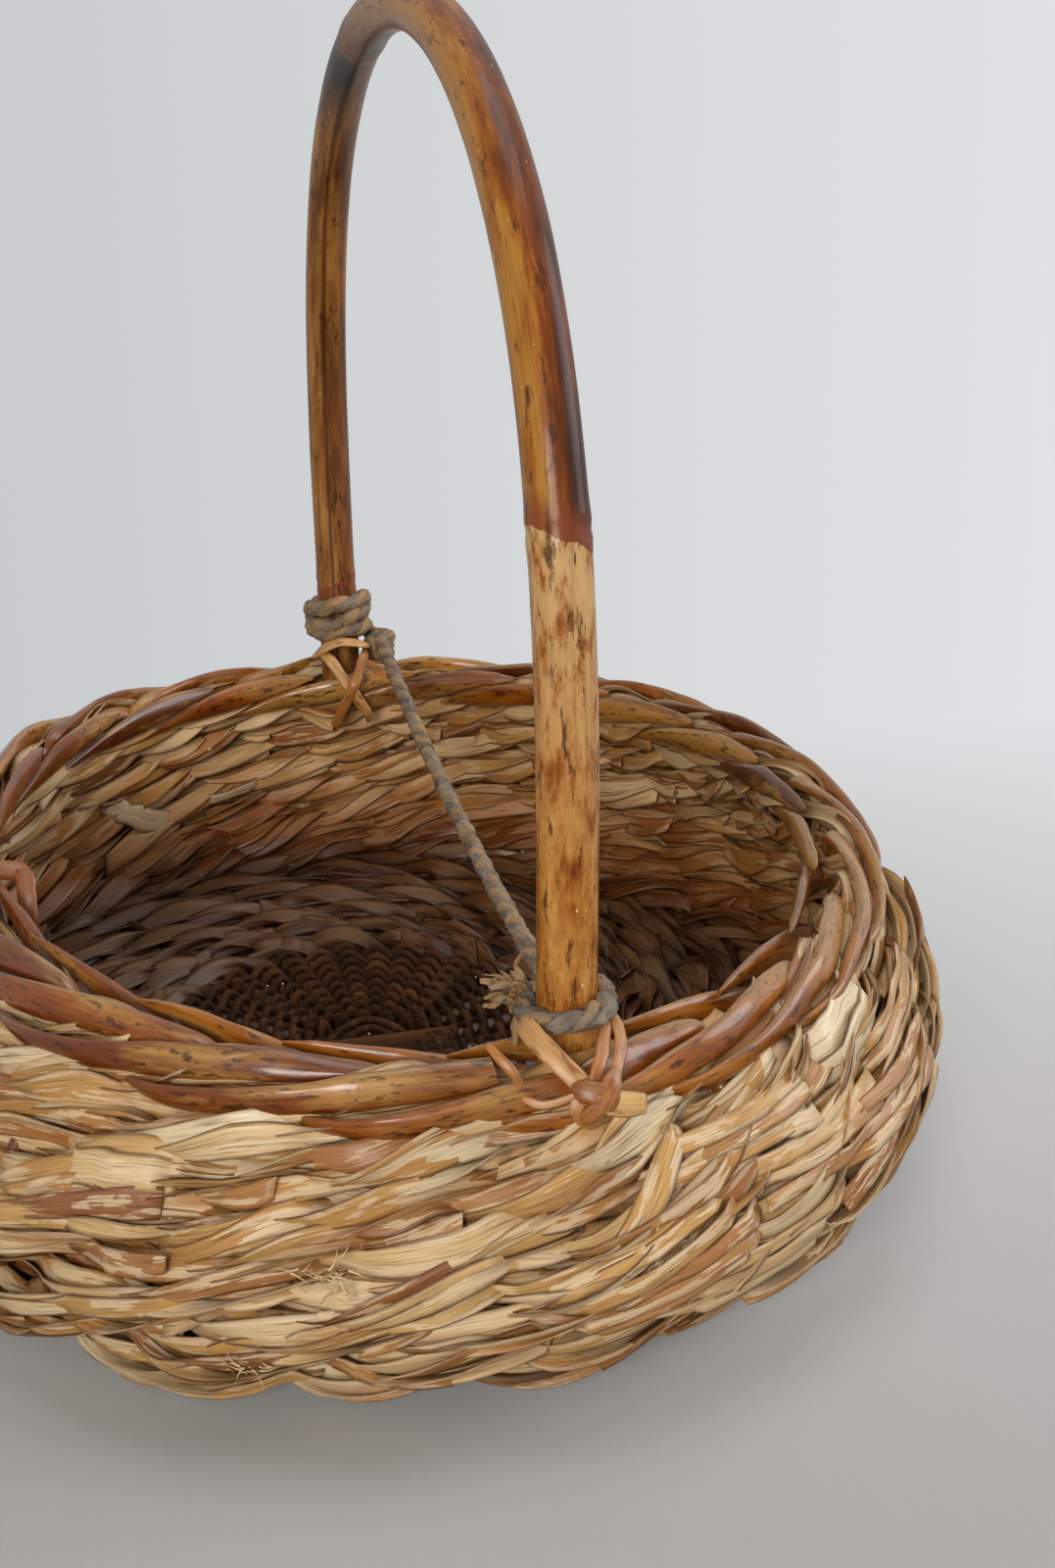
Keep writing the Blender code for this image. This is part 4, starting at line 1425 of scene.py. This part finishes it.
lashings = {
    "flat": 0.72,
    "coreDrop": 0.006,
    "step": 0.0010,
    "sizePlaces": (0, 0.2, 0.8, 1),
    "sizes": (0.6, 1.05, 1.0, 0.8),
    "wander": 0.06,
    "bark": {"Sides": 12, "Bark Depth": 0.0009, "Bark Length": 0.007, "Seed": 2.0},
    # Each strip: name, reach, tone, and its course in millimetres, towards +Y, up, and out along +X
    "front": (
        ("slant", 0.0029, 0.75, (
            (-9, 109, -2), (-12.5, 112.2, 5), (-13.8, 112.6, 10), (-11.8, 110.4, 15), (-7.5, 106, 20.5),
            (-3.5, 102, 24), (0.6, 97.8, 25.5), (4, 93, 24.5), (6, 88, 21))),
        ("pairLeft", 0.0019, 0.45, (
            (8.5, 111, 2), (8.8, 110.7, 9), (6.8, 108.6, 14), (4.9, 106.4, 19.5), (2.2, 104, 24),
            (0, 100, 26))),
        ("pairRight", 0.0019, 0.55, (
            (11.8, 111, 2), (12, 110, 9), (11.6, 107.6, 14), (10, 105.2, 19), (7.2, 102.6, 24),
            (4.5, 99, 26))),
        ("knotOver", 0.0031, 0.15, (
            (-4.5, 99.5, 24), (-2.5, 100.4, 28), (1.5, 99.8, 30), (5.5, 97.0, 29.4), (8.5, 93.5, 25))),
        ("knotCross", 0.0027, 0.35, (
            (7.5, 103.5, 24), (5.0, 101.5, 28), (2.0, 98.0, 31), (-1.0, 94.0, 29.5), (-2.5, 90.5, 25))),
        ("knotUnder", 0.0030, 0.6, ((-4, 98, 26), (-3, 94, 27.5), (-0.5, 91, 26.5), (2.5, 89.5, 23.5))),
        ("stub", 0.0033, 0.95, ((1, 97.2, 28), (6, 96, 29), (10, 95.4, 29.2), (14, 95.0, 29.2))),
        ("under", 0.0011, 0.6, ((-18, 97.8, 23), (-14, 96.4, 25.5), (-9.5, 97.2, 26.5), (-5, 98.8, 27))),
        ("tailEnd", 0.0014, 0.5, (
            (-26.1, 112.2, 17.6), (-23.5, 109.5, 22), (-20.8, 106.6, 24.4), (-19, 103, 24))),
    ),
    "back": (
        ("slant", 0.0024, 0.7, (
            (-11, 113, 12), (-9.5, 114, 16), (-7.6, 112.2, 19), (-0.4, 100.6, 24), (7.4, 87.9, 21),
            (9, 83, 15))),
        ("cross", 0.0021, 0.45, (
            (9, 114, 12), (7.5, 112.6, 18), (1.9, 103.1, 25.5), (-3, 93, 24), (-7.1, 82.9, 19))),
        ("loop", 0.0026, 0.75, (
            (-12, 110, 4), (-11.2, 113.5, 13), (-8.5, 117, 16), (-2, 119, 17), (4, 118, 16.5), (8.5, 116, 14),
            (10.5, 113, 6))),
    ),
}


def makeLashings():
    rng = np.random.default_rng(41)
    for place, side in (("front", 1), ("back", -1)):
        foot = footPoint(side, plan["rimHeight"])
        core = np.array([foot[0], foot[1], plan["borderLevel"] - lashings["coreDrop"]])
        paths = []
        for _, reach, tone, rows in lashings[place]:
            local = easeLine(np.array(rows) / 1000, lashings["step"], 3)
            line = np.stack([foot[0] + local[:, 2], foot[1] + local[:, 0], local[:, 1]], axis=1)
            share = np.linspace(0, 1, len(line))
            wide = reach * np.interp(share, lashings["sizePlaces"], lashings["sizes"])
            wide = wide * (1 + lashings["wander"] * makeWander(rng, 11)(share * 5))
            paths.append({"points": line, "reach": wide, "flat": lashings["flat"], "way": unit(line - core),
                          "tone": tone})
        item = pathObject(f"lashing{place.capitalize()}", paths)
        runTree(item, trees["cane"], {**lashings["bark"], "Material": split})
        settle(item, [f"lashing_{place}_a", f"lashing_{place}_b"])
    print("lashings made")


makeLashings()


# Patches of loose fibres

frays = {
    "fibre": {"Thickness": 0.06, "Bend": 0.7, "Seed": 4},
    "wide": 0.7,  # a patch's scatter round the wall and up it, in spreads
    "tall": 0.25,
    "turnLength": 0.18,  # metres round the wall to one radian
    "out": (-0.001, 0.0015),
    "ahead": 0.02,
    "slant": 0.002,
    "rise": (0.0002, 0.0005),
    "length": (0.002, 0.006),
    "tones": (0.4, 1),
    # Each patch: turn, length up the wall, spread and number of fibres
    "patches": (
        (-0.36, 0.0537, 0.006, 50), (-0.47, 0.0274, 0.005, 26), (0.12, 0.0657, 0.004, 14),
        (0.10, 0.0493, 0.005, 12), (0.49, 0.0329, 0.005, 12), (2.4, 0.05, 0.005, 20), (3.9, 0.04, 0.005, 20),
    ),
}


def fibreObject(name, points, ways, sizes):
    mesh = bpy.data.meshes.new(name)
    mesh.from_pydata(np.asarray(points).tolist(), [], [])
    storeAttribute(mesh, "way", np.asarray(ways))
    storeAttribute(mesh, "reach", np.asarray(sizes))
    return linkObject(name, mesh)


def makeFrays():
    rng = np.random.default_rng(61)
    points, ways, sizes = [], [], []
    for turn, length, spread, count in frays["patches"]:
        for _ in range(count):
            spot = turn + rng.normal(0, spread * frays["wide"]) / frays["turnLength"]
            level = length + rng.normal(0, spread * frays["tall"])
            out = wall["reach"] + wall["depth"] + rng.uniform(*frays["out"])
            here = wallPoint(spot, level, out)
            tip = level + rng.normal(0, frays["slant"])
            aim = unit(wallPoint(spot + frays["ahead"], tip, out + rng.normal(*frays["rise"])) - here)
            points.append(here)
            ways.append(aim * rng.choice([-1, 1]))
            sizes.append(rng.uniform(*frays["length"]))
    item = fibreObject("frayedStraw", points, ways, sizes)
    for key in ("along", "across", "inner", "edge"):
        storeAttribute(item.data, key, np.zeros(len(points)))
    storeAttribute(item.data, "tone", rng.uniform(*frays["tones"], len(points)))
    runTree(item, trees["fibre"], {**frays["fibre"], "Material": straw})
    settle(item)
    print("frayed straw made")


makeFrays()


# Floor, light and background

stage = {
    "floorHalf": 60.0,
    "floorColor": "#ADABA8",
    "backLeft": "#C8CBCD",
    "backRight": "#E0E2E3",
    "fade": (-0.26, 0.42),  # where the floor turns into the backdrop, along the photo's line of sight
    "fadeAround": (0.5, 3.0),  # and around the basket, as the square of the distance
    "spread": 0.25,  # half the backdrop's change of tone, as a slope from the photo's standpoint
    "lights": (
        ("frontLight", (1.85, -0.85, 0.88), 0.8, 30.0, "#FFFAF4"),
        ("sideLight", (0.2, 1.9, 1.0), 1.4, 24.0, "#F8FAFF"),
        ("topLight", (-0.2, 0.3, 1.9), 1.2, 11.0, "#FFFFFF"),
    ),
    "lightAim": (0, 0, 0.1),
    "worldColor": "#F5F6F7",
    "worldStrength": 0.27,
}


def seenRay(add):
    # 1 for what the camera sees, straight or in a gloss or glass, so that no backdrop lights the basket
    straight, gloss, glass = (
        add("LightPath", output=f"Is {kind} Ray") for kind in ("Camera", "Glossy", "Transmission"))
    seen = add("Math", add("Math", straight, gloss, **plus), glass, **plus)
    return add("Math", seen, 1.0, operation="MINIMUM")


def backdropColor(add, away):
    # Painted light: the backdrop is lighter to the right
    # The backdrop's tone changes with the level direction seen from the photo's standpoint
    across = (math.cos(camera["turn"]), math.sin(camera["turn"]), 0.0)
    slope = add("VectorMath", add("VectorMath", away, operation="NORMALIZE"), across, **dotted)
    side = add("MapRange", slope, -stage["spread"], stage["spread"])
    return add("Mix", side, stage["backLeft"], stage["backRight"], **blend)


def makeFloor():
    half = stage["floorHalf"]
    mesh = bpy.data.meshes.new("floor")
    corners = [(-half, -half, 0), (half, -half, 0), (half, half, 0), (-half, half, 0)]
    mesh.from_pydata(corners, [], [(0, 1, 2, 3)])
    material, add = newMaterial("paleFloor")
    tree = material.node_tree
    shader = tree.nodes["Principled BSDF"]
    place = add("TexCoord", output="Object")
    grain = add("TexNoise", add("VectorMath", place, (30.0, 400.0, 1.0), **times), 1.0, 3.0, 0.55)
    color = shaded(add, stage["floorColor"], grain, [(0.3, 0.985), (0.7, 1.01)])
    setInputs(tree, shader, {"Roughness": 0.8, "Specular IOR Level": 0.1, "Base Color": color})
    ahead = (-math.sin(camera["turn"]), math.cos(camera["turn"]), 0.0)
    fade = add("MapRange", add("VectorMath", place, ahead, **dotted), *stage["fade"])
    around = add("MapRange", add("VectorMath", place, place, **dotted), *stage["fadeAround"])
    fade = add("Math", fade, around, operation="MAXIMUM")
    away = add("VectorMath", place, (*camera["place"][:2], 0.0), **minus)
    glow = add("Emission", backdropColor(add, away))
    fade = add("Math", fade, seenRay(add), **times)
    mixed = add("MixShader", fade, shader.outputs[0], glow)
    tree.links.new(mixed, tree.nodes["Material Output"].inputs["Surface"])
    mesh.materials.append(material)
    linkObject("floor", mesh)


def makeWorld():
    world = bpy.data.worlds.new("studio")
    bpy.context.scene.world = world
    world.use_nodes = True
    tree = world.node_tree
    add = partial(addNode, tree)
    light = tree.nodes["Background"]
    setInputs(tree, light, {"Color": stage["worldColor"], "Strength": stage["worldStrength"]})
    aim = add("VectorMath", add("TexCoord", output="Generated"), (1.0, 1.0, 0.0), **times)
    shown = add("Background", backdropColor(add, aim))
    mixed = add("MixShader", seenRay(add), light.outputs[0], shown)
    tree.links.new(mixed, tree.nodes["World Output"].inputs["Surface"])
    for name, spot, size, power, tint in stage["lights"]:
        data = bpy.data.lights.new(name, "AREA")
        data.shape = "DISK"
        data.size = size
        data.energy = power
        data.color = hexColor(tint)[:3]
        aim = Vector(stage["lightAim"]) - Vector(spot)
        turned = aim.to_track_quat("-Z", "Y").to_matrix().to_4x4()
        linkObject(name, data).matrix_world = Matrix.Translation(spot) @ turned
    bpy.context.scene.view_settings.view_transform = "Standard"
    print("floor and lights made")


makeFloor()
makeWorld()
